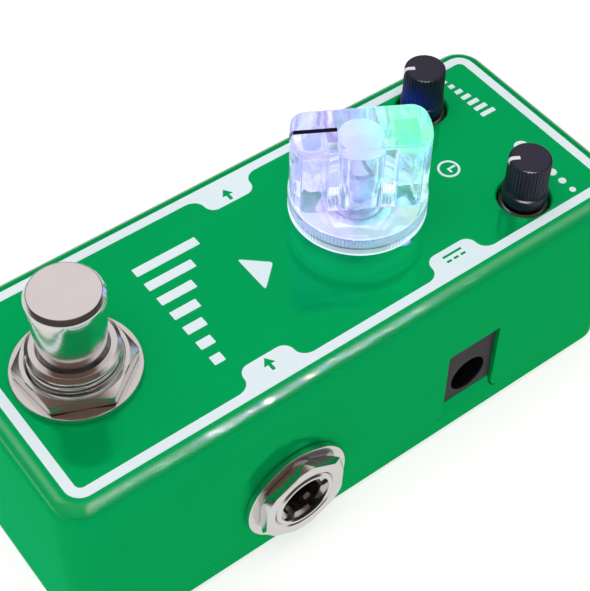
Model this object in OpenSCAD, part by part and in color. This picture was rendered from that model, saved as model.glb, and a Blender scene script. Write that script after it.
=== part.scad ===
// Mini delay pedal in a die-cast case, in pieces as it comes apart on a bench.
// Millimetres. +Z is up, +Y runs to the rear knobs, +X to the input socket.
// The origin is on the floor, under the middle of the case.

/* [Case] */
// Length of the case from front to rear
case_l = 93.5; // [90:0.5:110]
// Width of the case between its side faces
case_w = 38; // [37:0.5:46]
// Height of the case with its base tray
case_h = 31.9; // [31:0.1:40]
// Thickness of the side walls
wall_t = 2; // [1.6:0.1:2.4]
// Thickness of the top
top_t = 2; // [1.6:0.1:2.4]
// Radius of the upright corners
corner_r = 4.5; // [3.5:0.1:6]
// Radius of the rounded top edge
edge_r = 2.5; // [1:0.1:3]

/* [Base] */
// Height of the base tray, up to the seam
tray_h = 3.3; // [2.8:0.1:4]
// Thickness of the base tray's floor
tray_floor_t = 1.5; // [1.2:0.1:2]
// Gap round the tongue of the tray that closes the notch under the power socket
tongue_gap = 0.2; // [0.1:0.05:0.3]
// Radius of the case's corners where that notch meets the seam
notch_r = 1.6; // [0.8:0.1:2]
// Thickness of the rubber pad
pad_t = 1; // [0.6:0.1:2]
// Distance from the case ends to the pad
pad_end_gap = 9; // [8:0.5:14]
// Distance from the case sides to the pad
pad_side_gap = 3; // [2.5:0.1:6]
// Distance from the case faces to the base screws
screw_inset = 4.6; // [4.4:0.1:5]
// Thread diameter of the base screws
screw_d = 3; // [2.5:0.1:3.2]
// Head diameter of the base screws
screw_head_d = 5.5; // [5:0.1:6]
// Length of the base screws
screw_l = 10; // [8:0.5:14]
// Diameter of the screw bosses inside the case
boss_d = 6; // [5:0.1:6.5]

/* [Footswitch] */
// Distance from the front face to the footswitch axis
foot_from_front = 12.95; // [12:0.05:14]
// Thread diameter of the bush
foot_bush_d = 12; // [11.5:0.1:12.5]
// Length of the bush with its flange
foot_bush_l = 12; // [11.5:0.1:14]
// Height of the bush above the case top
foot_bush_rise = 5.35; // [4.5:0.05:6]
// Diameter of the flange at the bush's lower end
foot_flange_d = 15.6; // [14:0.1:16.5]
// Thickness of that flange
foot_flange_t = 1; // [0.8:0.1:1.4]
// Width across the flats of both nuts
foot_nut_af = 14; // [13.6:0.1:16]
// Thickness of the outer nut
foot_nut_t = 1.95; // [1.5:0.05:2.5]
// Thickness of the inner nut
foot_inner_nut_t = 2; // [1.5:0.05:2.2]
// Diameter of the washer under the outer nut
foot_washer_d = 16.9; // [16:0.1:18]
// Thickness of that washer
foot_washer_t = 0.9; // [0.6:0.05:1.2]
// Largest diameter of the cap
foot_cap_d = 10; // [9.4:0.1:10.6]
// Diameter of the cap's neck, where it enters the bush
foot_neck_d = 8.4; // [8:0.1:8.6]
// Height of the cap above the bush
foot_cap_rise = 10.1; // [9.5:0.1:12]
// Depth of the cap's neck inside the bush
foot_neck_in = 2.35; // [1.5:0.05:3]
// Width of the bevel round the cap's top
foot_cap_bevel = 0.5; // [0.3:0.05:0.8]
// Height of that bevel
foot_bevel_h = 0.75; // [0.4:0.05:1.2]
// Height over which the cap is at its widest, with the bevel
foot_band_h = 1.8; // [1.4:0.1:2.4]
// Thickness of the cap above its stem
foot_roof_t = 3; // [2:0.1:4]
// Travel of the cap
foot_travel = 1.8; // [1:0.1:2.2]
// Diameter of the plunger's stem
foot_stem_d = 6; // [5:0.1:6.2]
// Diameter of the plunger's stop collar
foot_collar_d = 7.8; // [7:0.1:8.4]
// Width of the square switch body
foot_body_w = 17.2; // [16:0.1:18]
// Height of the switch body
foot_body_h = 11.4; // [10.5:0.1:13]
// Wire diameter of the return spring
spring_wire_d = 0.7; // [0.5:0.05:0.9]
// Spacing of the solder lugs
lug_pitch = 4.7; // [4:0.1:5.2]
// Length of the solder lugs
lug_l = 4.6; // [4:0.1:6]

/* [Signal sockets] */
// Distance from the front face to the input socket's axis
input_from_front = 32.85; // [32.5:0.05:33.2]
// Distance from the front face to the output socket's axis
output_from_front = 45.45; // [45.2:0.05:47]
// Distance from the board's underside down to both socket axes
jack_drop = 7.1; // [6.8:0.05:7.6]
// Bore of the sockets, for a quarter-inch plug
jack_bore_d = 6.5; // [6.4:0.02:6.7]
// Thread diameter of the socket bushes
jack_bush_d = 9.4; // [9.2:0.1:9.8]
// Length of the bush outside the case
jack_bush_rise = 2.8; // [2.75:0.05:4]
// Diameter of the bush's inner flange
jack_flange_d = 12; // [11:0.1:12.4]
// Thickness of that flange
jack_flange_t = 1.5; // [1:0.1:2]
// Diameter of the widened mouth of the bore
jack_mouth_d = 7.9; // [7.2:0.1:8.2]
// Depth of the widened mouth
jack_mouth_depth = 0.9; // [0.5:0.1:1.4]
// Diameter of the washers
jack_washer_d = 16.2; // [14.8:0.1:17]
// Thickness of the washers
jack_washer_t = 1.0; // [0.8:0.05:1.05]
// Width across the flats of the nuts
jack_nut_af = 12.7; // [12:0.1:14]
// Thickness of the nuts
jack_nut_t = 1.7; // [1.4:0.05:1.75]
// Length of the socket housings
jack_body_l = 27; // [24:0.1:30]
// Width of the socket housings
jack_body_w = 12; // [11:0.1:12.3]
// Height of the housings below the socket axes
jack_body_below = 6.4; // [5.8:0.1:7]
// Room that the housings leave round the bore
jack_body_room = 0.25; // [0.2:0.05:0.4]
// Thickness of the housings behind the plug's tip
jack_back_t = 1.5; // [1:0.1:2]

/* [Power socket] */
// Distance from the front face to the power socket's axis
power_from_front = 64.55; // [62:0.05:68]
// Width of the socket's face
power_w = 9; // [8.5:0.1:10]
// Height of the socket's face
power_h = 11.3; // [11:0.1:12]
// Length of the socket's housing
power_l = 14; // [12:0.1:15]
// Depth of its face behind the case wall
power_recess = 0.6; // [0.2:0.1:1]
// Distance from the housing's top down to the plug hole
power_axis_drop = 7.5; // [7.2:0.05:7.6]
// Diameter of the plug hole
power_bore_d = 6.2; // [5.8:0.1:6.4]
// Depth of the plug hole
power_bore_depth = 10.5; // [9:0.1:11]
// Diameter of the centre pin
power_pin_d = 2.1; // [2:0.1:2.5]
// Depth of the pin's tip behind the socket's face
power_pin_in = 2.2; // [1.9:0.1:3]

/* [Time knob] */
// Distance from the front face to the time knob's axis
time_from_front = 57.55; // [56.5:0.05:59]
// Diameter of the knob's skirt
time_skirt_d = 19; // [18:0.1:21]
// Height of the skirt
time_skirt_h = 3.35; // [2.5:0.05:5]
// Height of the whole knob
time_knob_h = 14.4; // [13:0.1:17]
// Gap between the case top and the knob's underside
time_knob_gap = 2.1; // [1.6:0.1:3]
// Length of the bar across the knob
time_bar_l = 18.6; // [17.5:0.1:19]
// Width of the bar
time_bar_w = 8; // [7.4:0.1:9.4]
// Corner radius of the bar's ends
time_bar_end_r = 2.2; // [1:0.1:3]
// Diameter of the recess in the knob's underside
time_recess_d = 17.3; // [17.2:0.05:17.6]
// Depth of that recess
time_recess_h = 1.2; // [1:0.1:2]
// Length of each pocket in the bar
pocket_l = 3.2; // [2:0.1:3.4]
// Width of each pocket in the bar
pocket_w = 4.6; // [3:0.1:5]
// Thickness of the hub between the bore and the pockets
time_hub_t = 1.5; // [1:0.1:1.6]
// Thickness of the knob above its bore and pockets
time_roof_t = 2.4; // [1.5:0.1:4]
// Diameter of the time shaft
time_shaft_d = 6; // [5:0.05:6.2]
// Length of the shaft inside the knob
time_shaft_in = 7.5; // [6:0.1:8]
// Angle of the knob's pointer at rest, from +X
pointer_angle = -120; // [-180:1:180]
// Diameter of the round lamps under the knob
lamp_d = 3; // [2:0.1:3]
// Distance from the knob's axis to the lamps
lamp_reach = 7; // [6.9:0.05:7.05]
// Height of the lamps above the case top
lamp_rise = 0.5; // [0.3:0.1:0.8]

/* [Small knobs] */
// Distance from the rear face to both small knobs
small_from_rear = 15.05; // [14.2:0.05:16]
// Distance from each side face to the small knob beside it
small_from_side = 7.9; // [7.7:0.05:8.5]
// Diameter of the small knobs
small_knob_d = 6; // [5.4:0.1:6.6]
// Height of the small knobs
small_knob_h = 7.6; // [7:0.1:10]
// Gap between the case top and the small knobs
small_knob_gap = 0.25; // [0.1:0.05:1]
// Diameter of the plain collar at the foot of each small knob
small_collar_d = 6.4; // [6:0.1:6.8]
// Height of that collar
small_collar_h = 2; // [1:0.1:3]
// Number of flutes round each small knob
flute_count = 36; // [24:1:44]
// Diameter of the holes in the case for the small knobs
small_hole_d = 7.65; // [7.3:0.05:8.2]
// Diameter of the small shafts
small_shaft_d = 3.4; // [3:0.1:3.6]
// Length of the small shafts inside the knobs
small_shaft_in = 5.4; // [4:0.1:6]

/* [Potentiometers] */
// Thread diameter of the potentiometer bushes
pot_bush_d = 7; // [6.8:0.1:7.1]
// Width of the small potentiometer bodies
pot_body_w = 9.6; // [9:0.1:10]
// Length of the small potentiometer bodies
pot_body_l = 11; // [10:0.1:12]
// Width of the square time potentiometer body
time_pot_w = 11; // [10:0.1:11.4]
// Height of the potentiometer bodies
pot_body_h = 6.8; // [6:0.1:7.4]
// Height of the time bush above the case top
time_bush_rise = 2.4; // [2.2:0.05:2.6]
// Depth of the small bushes below the case top
small_bush_drop = 0.4; // [0.2:0.05:1]
// Width across the flats of the time potentiometer's nut
pot_nut_af = 10; // [9.4:0.1:10.4]
// Thickness of that nut
pot_nut_t = 1.6; // [1.2:0.1:1.7]
// Diameter of the washer under that nut
pot_washer_d = 10.6; // [10:0.1:10.8]
// Thickness of that washer
pot_washer_t = 0.5; // [0.3:0.05:0.6]

/* [Circuit boards] */
// Depth of the main board's upper face below the case top
board_drop = 12.9; // [12.5:0.1:13.4]
// Thickness of both boards
board_t = 1.6; // [1.2:0.1:2]
// Distance from the front face to the main board
board_from_front = 25.5; // [25:0.1:26]
// Distance from the rear face to the main board
board_from_rear = 8.5; // [7.8:0.1:9.5]
// Gap between the main board and the side walls
board_gap = 0.6; // [0.3:0.1:1]
// How far the small board under the footswitch stands out round the switch body
switch_board_edge = 0.2; // [0:0.05:0.4]
// Distance from the switch body down to the small board
switch_board_drop = 1; // [0.5:0.1:1.4]
// Width of the ribbon between the boards
ribbon_w = 7.5; // [6:0.1:7.8]
// Thickness of the ribbon
ribbon_t = 0.4; // [0.3:0.05:0.6]
// Distance from the middle of the case to the ribbon
ribbon_from_mid = 0.2; // [0:0.1:0.6]
// Radius of the ribbon's bends
ribbon_bend_r = 1; // [0.8:0.1:1.2]
// Length of ribbon soldered to each board
ribbon_lap = 3; // [2:0.1:3.2]
// Width of the delay chip
chip_w = 7.5; // [6:0.1:8]
// Length of the delay chip
chip_l = 10.3; // [9:0.1:10.6]
// Height of the delay chip
chip_h = 2.3; // [1.6:0.1:2.6]
// Distance from the board's left edge to the delay chip's middle
chip_from_side = 10.4; // [9.8:0.1:11]
// Distance from the board's front edge to the delay chip's middle
chip_from_edge = 13.5; // [13:0.1:13.8]
// Width of the amplifier chips
amp_chip_w = 4; // [3.6:0.1:4.4]
// Length of the amplifier chips
amp_chip_l = 5; // [4.8:0.1:5.2]
// Height of the amplifier chips
amp_chip_h = 1.6; // [1.2:0.1:1.8]
// Distance from the board's right edge to the amplifier chips
amp_chip_from_side = 7.4; // [7:0.1:8]
// Distance from the board's front edge to the first amplifier chip
amp_chip_from_edge = 9.3; // [9.2:0.1:9.6]
// Distance between the amplifier chips
amp_chip_pitch = 7.2; // [6.5:0.1:7.4]
// Diameter of the capacitors
can_d = 5; // [4:0.1:5.2]
// Height of the capacitors
can_h = 6.5; // [5:0.1:7]
// Distance from the board's side edges to the capacitors beside them
can_from_side = 3.9; // [3:0.1:4.2]
// Distance from the board's front edge to the front row of capacitors
can_from_edge = 4; // [3:0.1:4.2]
// Distance between the capacitors of that row
can_pitch = 6.75; // [5.6:0.05:7]
// Distance from that row to the pair of capacitors behind it
can_row_gap = 18; // [17.6:0.1:18.4]
// Distance from the small knobs' axes back to the rear capacitor
can_rear_gap = 2; // [1:0.1:3]

/* [Fits] */
// Radial clearance of what turns or slides
run_gap = 0.05; // [0.03:0.01:0.09]
// Radial clearance of what is pressed or screwed together
seat_gap = 0.02; // [0.01:0.01:0.05]
// Radial clearance of a bush in its hole
hole_gap = 0.2; // [0.15:0.05:0.3]
// Radial clearance of the footswitch cap in the bush's mouth
mouth_gap = 0.35; // [0.3:0.05:0.5]

/* [Hidden] */
$fn = 48;

// How far a cut runs past the face that it opens
over = 1;

// Levels of the case
tray_z = pad_t;
tray_floor_z = tray_z + tray_floor_t;
seam_z = tray_z + tray_h;
top_z = tray_z + case_h;
ceiling_z = top_z - top_t;
front_y = -case_l / 2;
inner_w = case_w - 2 * wall_t;
inner_l = case_l - 2 * wall_t;
inner_r = corner_r - wall_t;

// Width of the turned band inside the flats of a nut
nut_bevel = 0.15;

// Main board
board_top_z = top_z - board_drop;
board_low_z = board_top_z - board_t;
board_front_y = front_y + board_from_front;
board_l = case_l - board_from_front - board_from_rear;
board_w = inner_w - 2 * board_gap;

// Footswitch
foot_y = front_y + foot_from_front;
foot_top_z = top_z + foot_bush_rise;
foot_flange_z = foot_top_z - foot_bush_l;
foot_mouth_d = foot_neck_d + 2 * mouth_gap;
foot_mouth_depth = foot_neck_in + foot_travel + mouth_gap;
foot_hollow_h = foot_cap_rise - foot_roof_t;
foot_collar_t = 1.2;
foot_collar_gap = 0.1;
foot_collar_room = 0.5;
foot_floor_t = 2;
foot_floor_z = foot_flange_z - foot_body_h + foot_floor_t;
foot_low_z = foot_flange_z - foot_body_h;
lug_w = 2;
lug_t = 0.7;
switch_board_w = foot_body_w + 2 * switch_board_edge;
switch_board_z = foot_low_z - switch_board_drop - board_t;

// Sockets
inner_x = inner_w / 2;
jack_z = board_low_z - jack_drop;
jack_back_x = inner_x - jack_flange_t - jack_body_l;
jack_nut_x = case_w / 2 + jack_washer_t;
power_y = front_y + power_from_front;
power_z = board_low_z - power_axis_drop;
power_face_x = case_w / 2 - power_recess;

// Spring leaves of the sockets: width, thickness, room round them, distance of
// their flats from the bore, bite of their humps into it and lift of their tips
leaf_w = 3;
leaf_t = 0.4;
leaf_room = 0.2;
leaf_seat = 1.5;
leaf_bite = 0.15;
leaf_lift = 0.4;

// Shares of a housing's length at which a leaf leaves its flat, turns and ends, and the
// length of the tail that it shows behind the housing
jack_leaf_at = [0.3, 0.42, 0.5];
power_leaf_at = [0.35, 0.55, 0.7];
leaf_tail = 1.5;

// Knobs and potentiometers
time_y = front_y + time_from_front;
small_y = case_l / 2 - small_from_rear;
small_reach = case_w / 2 - small_from_side;
time_low_z = top_z + time_knob_gap;
small_low_z = top_z + small_knob_gap;
pot_top_z = board_top_z + pot_body_h;
pot_floor_t = 1.5;
lamp_turns = [0, 60];
lamp_angle = 20;
lamp_rim_t = 0.8;
lamp_rim_w = 0.3;
lamp_leg_d = 0.5;
lamp_leg_pitch = 1.27;

// Legs of the chips: count on each side, width, length, pitch and the room under the chip
chip_legs = 8;
amp_chip_legs = 4;
chip_leg_w = 0.4;
chip_leg_l = 1;
chip_leg_pitch = 1.27;
chip_stand = 0.2;

// Points of an arc about (cx, cy) from angle a0 to a1
function arc(cx, cy, r, a0, a1, n = 8) =
    [for (i = [0 : n]) [cx + r * cos(a0 + (a1 - a0) * i / n), cy + r * sin(a0 + (a1 - a0) * i / n)]];

// Points of a rectangle with round corners, centred on the origin
function round_rect(w, l, r) = concat(
    arc(w / 2 - r, l / 2 - r, r, 0, 90),
    arc(r - w / 2, l / 2 - r, r, 90, 180),
    arc(r - w / 2, r - l / 2, r, 180, 270),
    arc(w / 2 - r, r - l / 2, r, 270, 360)
);

// Ring of points round the wire of a coil at turn angle a and height z
function wire_ring(r, wire_r, a, z, sides) =
    [for (j = [0 : sides - 1])
        let (b = 360 * j / sides, q = r + wire_r * cos(b)) [q * cos(a), q * sin(a), z + wire_r * sin(b)]];

// Plate with round corners, standing on z
module plate(w, l, r, z, t) {
    translate([0, 0, z]) linear_extrude(t) polygon(round_rect(w, l, r));
}

// Ring about the Z axis
module ring(d, bore_d, z, t) {
    translate([0, 0, z]) difference() {
        cylinder(d = d, h = t);
        translate([0, 0, -over]) cylinder(d = bore_d, h = t + 2 * over);
    }
}

// Hex nut about the Z axis, its upper corners turned down at 30 degrees
module hex_nut(af, bore_d, z, t) {
    corner_at = af / 2 / cos(30);
    face_r = af / 2 - nut_bevel;
    turned_r = corner_at + over;
    turned_h = (turned_r - face_r) * tan(30);
    translate([0, 0, z]) difference() {
        intersection() {
            cylinder(r = corner_at, h = t, $fn = 6);
            rotate_extrude() polygon([
                [0, -over], [turned_r, -over], [turned_r, t - turned_h], [face_r, t], [0, t]
            ]);
        }
        translate([0, 0, -over]) cylinder(d = bore_d, h = t + 2 * over);
    }
}

// Cylinder along X from x0 to x1
module rod_x(d, x0, x1) {
    translate([x0, 0, 0]) rotate([0, 90, 0]) cylinder(d = d, h = x1 - x0);
}

// Copies its children to the four base screws
module at_screws() {
    for (sx = [-1, 1], sy = [-1, 1]) {
        translate([sx * (case_w / 2 - screw_inset), sy * (case_l / 2 - screw_inset), 0]) children();
    }
}

// Mirrors its children to the output side
module on_left() {
    mirror([1, 0, 0]) children();
}

// Block on z = 0 whose upright corners and top edge are round
module round_block(w, l, h, rc, rf) {
    section = concat([[0, 0], [rc, 0]], arc(rc - rf, h - rf, rf, 0, 90), [[0, h]]);
    core_w = w - 2 * rc;
    core_l = l - 2 * rc;
    translate([-core_w / 2, -core_l / 2, 0]) cube([core_w, core_l, h]);
    for (turn = [0, 180]) {
        rotate([0, 0, turn]) {
            translate([core_w / 2, 0, 0]) rotate([90, 0, 0])
                linear_extrude(core_l, center = true) polygon(section);
            translate([0, core_l / 2, 0]) rotate([90, 0, 90])
                linear_extrude(core_w, center = true) polygon(section);
            translate([core_w / 2, core_l / 2, 0]) rotate_extrude(angle = 90) polygon(section);
            translate([-core_w / 2, core_l / 2, 0]) rotate([0, 0, 90])
                rotate_extrude(angle = 90) polygon(section);
        }
    }
}

// Column at a corner that a base screw runs through, joined to both walls
module screw_post(sx, sy, z, h) {
    translate([sx * (case_w / 2 - screw_inset), sy * (case_l / 2 - screw_inset), z]) {
        cylinder(d = boss_d, h = h);
        translate([sx > 0 ? 0 : -screw_inset, sy > 0 ? 0 : -screw_inset, 0])
            cube([screw_inset, screw_inset, h]);
    }
}

// Hollow between the walls and the posts, from z over a height of h
module hollow(z, h) {
    difference() {
        plate(inner_w, inner_l, inner_r, z, h);
        for (sx = [-1, 1], sy = [-1, 1]) screw_post(sx, sy, z - over, h + 2 * over);
    }
}

// Outline of the notch under the power socket, drawn in by gap: straight sides
// that flare out in arcs at the seam
function notch_outline(gap, high_z) =
    let (half = power_w / 2 + hole_gap, flare = half + notch_r, bend_z = seam_z + notch_r)
    concat(
        [[half - gap, high_z], [gap - half, high_z]],
        arc(-flare, bend_z, notch_r + gap, 0, -90),
        [[-flare, seam_z - over], [flare, seam_z - over]],
        arc(flare, bend_z, notch_r + gap, 270, 180)
    );

// That outline carried through the right wall from x0 to x1
module notch_block(gap, high_z, x0, x1) {
    translate([x0, power_y, 0]) rotate([90, 0, 90])
        linear_extrude(x1 - x0) polygon(notch_outline(gap, high_z));
}

// Hole through the top of the case
module top_hole(x, y, d) {
    translate([x, y, ceiling_z - over]) cylinder(d = d, h = top_t + 2 * over);
}

// Green die-cast case
module enclosure() {
    jack_hole_d = jack_bush_d + 2 * hole_gap;
    color("mediumseagreen") difference() {
        translate([0, 0, seam_z]) round_block(case_w, case_l, top_z - seam_z, corner_r, edge_r);
        hollow(seam_z - over, ceiling_z - seam_z + over);
        at_screws() translate([0, 0, seam_z - over])
            cylinder(d = screw_d + 2 * seat_gap, h = screw_l - tray_h + 2 * over);
        top_hole(0, foot_y, foot_bush_d + 2 * hole_gap);
        top_hole(0, time_y, pot_bush_d + 2 * hole_gap);
        for (turn = lamp_turns) {
            top_hole(
                lamp_reach * cos(lamp_angle + turn),
                time_y + lamp_reach * sin(lamp_angle + turn),
                lamp_d + 2 * hole_gap
            );
        }
        for (side = [-1, 1]) top_hole(side * small_reach, small_y, small_hole_d);
        translate([0, front_y + input_from_front, jack_z])
            rod_x(jack_hole_d, inner_x - over, case_w / 2 + over);
        on_left() translate([0, front_y + output_from_front, jack_z])
            rod_x(jack_hole_d, inner_x - over, case_w / 2 + over);
        notch_block(0, board_low_z + hole_gap, inner_x - over, case_w / 2 + over);
    }
}

// Half section of a countersunk screw, widened by a gap, with its head's face at y = 0
function screw_section(gap, length) =
    let (r = screw_d / 2 + gap, head_r = screw_head_d / 2 + gap)
    [[0, 0], [head_r, 0], [r, head_r - r], [r, length], [0, length]];

// Wedge that slopes the tongue back from the seam to the face of the power socket
module tongue_slope(high_z) {
    face_x = case_w / 2;
    translate([0, power_y + power_w, 0]) rotate([90, 0, 0]) linear_extrude(2 * power_w) polygon([
        [face_x, seam_z], [face_x + over, seam_z], [face_x + over, high_z + over],
        [power_face_x, high_z + over], [power_face_x, high_z]
    ]);
}

// Green tray that closes the underside, with a tongue up to the power socket
module base_tray() {
    tongue_high_z = board_low_z - power_h - tongue_gap;
    color("mediumseagreen") {
        difference() {
            plate(case_w, case_l, corner_r, tray_z, tray_h);
            hollow(tray_floor_z, tray_h);
            at_screws() {
                translate([0, 0, tray_z])
                    rotate_extrude() polygon(screw_section(2 * seat_gap, tray_h + over));
                translate([0, 0, tray_z - over]) cylinder(d = screw_head_d + 4 * seat_gap, h = over);
            }
        }
        difference() {
            notch_block(tongue_gap, tongue_high_z, inner_x, case_w / 2);
            tongue_slope(tongue_high_z);
        }
    }
}

// Four countersunk screws with cross recesses
module base_screws() {
    slot_l = screw_head_d / 2;
    slot_w = screw_head_d / 8;
    slot_h = screw_head_d / 6;
    color("silver") at_screws() translate([0, 0, tray_z]) difference() {
        rotate_extrude() polygon(screw_section(0, screw_l));
        for (turn = [0, 90]) {
            rotate([0, 0, turn]) translate([-slot_l / 2, -slot_w / 2, -over])
                cube([slot_l, slot_w, slot_h + over]);
        }
    }
}

// Rubber sheet that the pedal stands on
module base_pad() {
    color("black") plate(case_w - 2 * pad_side_gap, case_l - 2 * pad_end_gap, corner_r, 0, pad_t);
}

// Polished cap: a straight neck that swells to its full width, with a bevelled top
module footswitch_cap() {
    neck_r = foot_neck_d / 2;
    cap_r = foot_cap_d / 2;
    swell_from = foot_travel + foot_collar_gap;
    swell_to = foot_cap_rise - foot_band_h;
    swell_steps = 8;
    swell = [for (i = [0 : swell_steps])
        let (t = i / swell_steps)
        [neck_r + (cap_r - neck_r) * sin(90 * t), swell_from + (swell_to - swell_from) * t]];
    color("gainsboro") translate([0, foot_y, foot_top_z]) difference() {
        rotate_extrude() polygon(concat(
            [[0, -foot_neck_in], [neck_r, -foot_neck_in]],
            swell,
            [
                [cap_r, foot_cap_rise - foot_bevel_h],
                [cap_r - foot_cap_bevel, foot_cap_rise],
                [0, foot_cap_rise]
            ]
        ));
        translate([0, 0, -foot_neck_in - over])
            cylinder(d = foot_stem_d + 2 * seat_gap, h = foot_neck_in + over + foot_hollow_h);
    }
}

// Stem that carries the cap, with its stop collar and the pin for the spring
module footswitch_plunger() {
    collar_z = foot_flange_z - foot_collar_gap - foot_collar_t;
    pin_l = 2;
    color("ivory") translate([0, foot_y, 0]) {
        translate([0, 0, collar_z]) cylinder(d = foot_stem_d, h = foot_top_z + foot_hollow_h - collar_z);
        translate([0, 0, collar_z]) cylinder(d = foot_collar_d, h = foot_collar_t);
        translate([0, 0, collar_z - pin_l]) cylinder(d = foot_collar_d / 2, h = pin_l + foot_collar_t);
    }
}

// Return spring between the collar and the floor of the switch body
module footswitch_spring() {
    turns = 5;
    steps = 12;
    sides = 6;
    wire_r = spring_wire_d / 2;
    coil_r = foot_collar_d / 4 + wire_r + 2 * run_gap;
    low = foot_floor_z + wire_r + run_gap;
    high = foot_flange_z - foot_collar_gap - foot_collar_t - wire_r - run_gap;
    rings = turns * steps;
    points = [for (i = [0 : rings])
        each wire_ring(coil_r, wire_r, 360 * i / steps, low + (high - low) * i / rings, sides)];
    walls = [for (i = [0 : rings - 1], j = [0 : sides - 1])
        let (k = (j + 1) % sides, a = i * sides)
        each [[a + j, a + sides + j, a + k], [a + k, a + sides + j, a + sides + k]]];
    ends = [for (j = [1 : sides - 2])
        each [[0, j, j + 1], [rings * sides, rings * sides + j + 1, rings * sides + j]]];
    color("lightgray") translate([0, foot_y, 0]) polyhedron(points, concat(walls, ends));
}

// Threaded bush that guides the plunger, with a wide mouth for the cap's neck
module footswitch_bush() {
    guide_r = foot_stem_d / 2 + run_gap;
    chamfer = 0.6;
    mouth_z = foot_bush_l - foot_mouth_depth;
    color("silver") translate([0, foot_y, foot_flange_z]) rotate_extrude() polygon([
        [guide_r, 0],
        [foot_flange_d / 2, 0],
        [foot_flange_d / 2, foot_flange_t],
        [foot_bush_d / 2, foot_flange_t],
        [foot_bush_d / 2, foot_bush_l - chamfer],
        [foot_bush_d / 2 - chamfer, foot_bush_l],
        [foot_mouth_d / 2, foot_bush_l],
        [foot_mouth_d / 2, mouth_z],
        [guide_r, mouth_z]
    ]);
}

// Outer nut, turned as it stands on the pedal
module footswitch_nut() {
    nut_turn = 6;
    color("silver") translate([0, foot_y, 0]) rotate([0, 0, nut_turn])
        hex_nut(foot_nut_af, foot_bush_d + 2 * seat_gap, top_z + foot_washer_t, foot_nut_t);
}

module footswitch_washer() {
    color("gainsboro") translate([0, foot_y, 0])
        ring(foot_washer_d, foot_bush_d + 2 * hole_gap, top_z, foot_washer_t);
}

// Nut that bears on the underside of the top
module footswitch_inner_nut() {
    color("silver") translate([0, foot_y, 0])
        hex_nut(foot_nut_af, foot_bush_d + 2 * seat_gap, ceiling_z - foot_inner_nut_t, foot_inner_nut_t);
}

// Plastic body of the switch, hollow for the collar and the spring
module footswitch_body() {
    hollow_d = foot_collar_d + 2 * foot_collar_room;
    color("royalblue") translate([0, foot_y, 0]) difference() {
        translate([-foot_body_w / 2, -foot_body_w / 2, foot_low_z])
            cube([foot_body_w, foot_body_w, foot_body_h]);
        translate([0, 0, foot_floor_z]) cylinder(d = hollow_d, h = foot_body_h);
    }
}

// One row of lugs in X and Y, or the slots for them when a gap is given
module lug_grid(gap, z, h) {
    for (i = [-1 : 1], j = [-1 : 1]) {
        translate([i * lug_pitch - lug_w / 2 - gap, foot_y + j * lug_pitch - lug_t / 2 - gap, z])
            cube([lug_w + 2 * gap, lug_t + 2 * gap, h]);
    }
}

module footswitch_lugs() {
    color("gold") lug_grid(0, foot_low_z - lug_l, lug_l);
}

// Small board that the lugs are soldered to
module switch_board() {
    color("darkgreen") difference() {
        translate([-switch_board_w / 2, foot_y - switch_board_w / 2, switch_board_z])
            cube([switch_board_w, switch_board_w, board_t]);
        lug_grid(2 * run_gap, switch_board_z - over, board_t + 2 * over);
    }
}

// Quarter bend of the ribbon about the X axis, on the right of x0
module ribbon_bend(x0, y, z, r, turn) {
    translate([x0, y, z]) rotate([turn, 0, 0]) rotate([90, 0, 90]) rotate_extrude_band(r);
}

// Quarter ring of the ribbon's thickness
module rotate_extrude_band(r) {
    linear_extrude(ribbon_w) difference() {
        intersection() {
            circle(r = r + ribbon_t / 2);
            square(r + ribbon_t);
        }
        circle(r = r - ribbon_t / 2);
    }
}

// Flat ribbon: under the small board, up between the boards and onto the main board
module switch_ribbon() {
    x0 = ribbon_from_mid;
    bend_r = ribbon_bend_r;
    rise_y = board_front_y - bend_r;
    low_z = switch_board_z - ribbon_t / 2;
    high_z = board_top_z + ribbon_t / 2;
    start_y = foot_y + switch_board_w / 2 - ribbon_lap;
    end_y = board_front_y + ribbon_lap;
    color("lightgray") {
        translate([x0, start_y, low_z - ribbon_t / 2])
            cube([ribbon_w, rise_y - bend_r - start_y, ribbon_t]);
        ribbon_bend(x0, rise_y - bend_r, low_z + bend_r, bend_r, -90);
        translate([x0, rise_y - ribbon_t / 2, low_z + bend_r])
            cube([ribbon_w, ribbon_t, high_z - low_z - 2 * bend_r]);
        ribbon_bend(x0, rise_y + bend_r, high_z - bend_r, bend_r, 90);
        translate([x0, rise_y + bend_r, high_z - ribbon_t / 2])
            cube([ribbon_w, end_y - rise_y - bend_r, ribbon_t]);
    }
}

// Threaded sleeve of a signal socket on the right wall, with a flange inside the case
module jack_bush() {
    face_x = case_w / 2 + jack_bush_rise;
    back_x = inner_x - jack_flange_t;
    chamfer = 0.4;
    color("silver") translate([back_x, 0, jack_z]) rotate([0, 90, 0]) rotate_extrude() polygon([
        [jack_bore_d / 2, 0],
        [jack_flange_d / 2, 0],
        [jack_flange_d / 2, jack_flange_t],
        [jack_bush_d / 2, jack_flange_t],
        [jack_bush_d / 2, face_x - back_x - chamfer],
        [jack_bush_d / 2 - chamfer, face_x - back_x],
        [jack_mouth_d / 2, face_x - back_x],
        [jack_mouth_d / 2, face_x - back_x - jack_mouth_depth],
        [jack_bore_d / 2, face_x - back_x - jack_mouth_depth]
    ]);
}

module jack_nut() {
    color("silver") translate([jack_nut_x, 0, jack_z]) rotate([0, 90, 0])
        hex_nut(jack_nut_af, jack_bush_d + 2 * seat_gap, 0, jack_nut_t);
}

module jack_washer() {
    color("gainsboro") translate([case_w / 2, 0, jack_z]) rotate([0, 90, 0])
        ring(jack_washer_d, jack_bush_d + 2 * hole_gap, 0, jack_washer_t);
}

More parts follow.
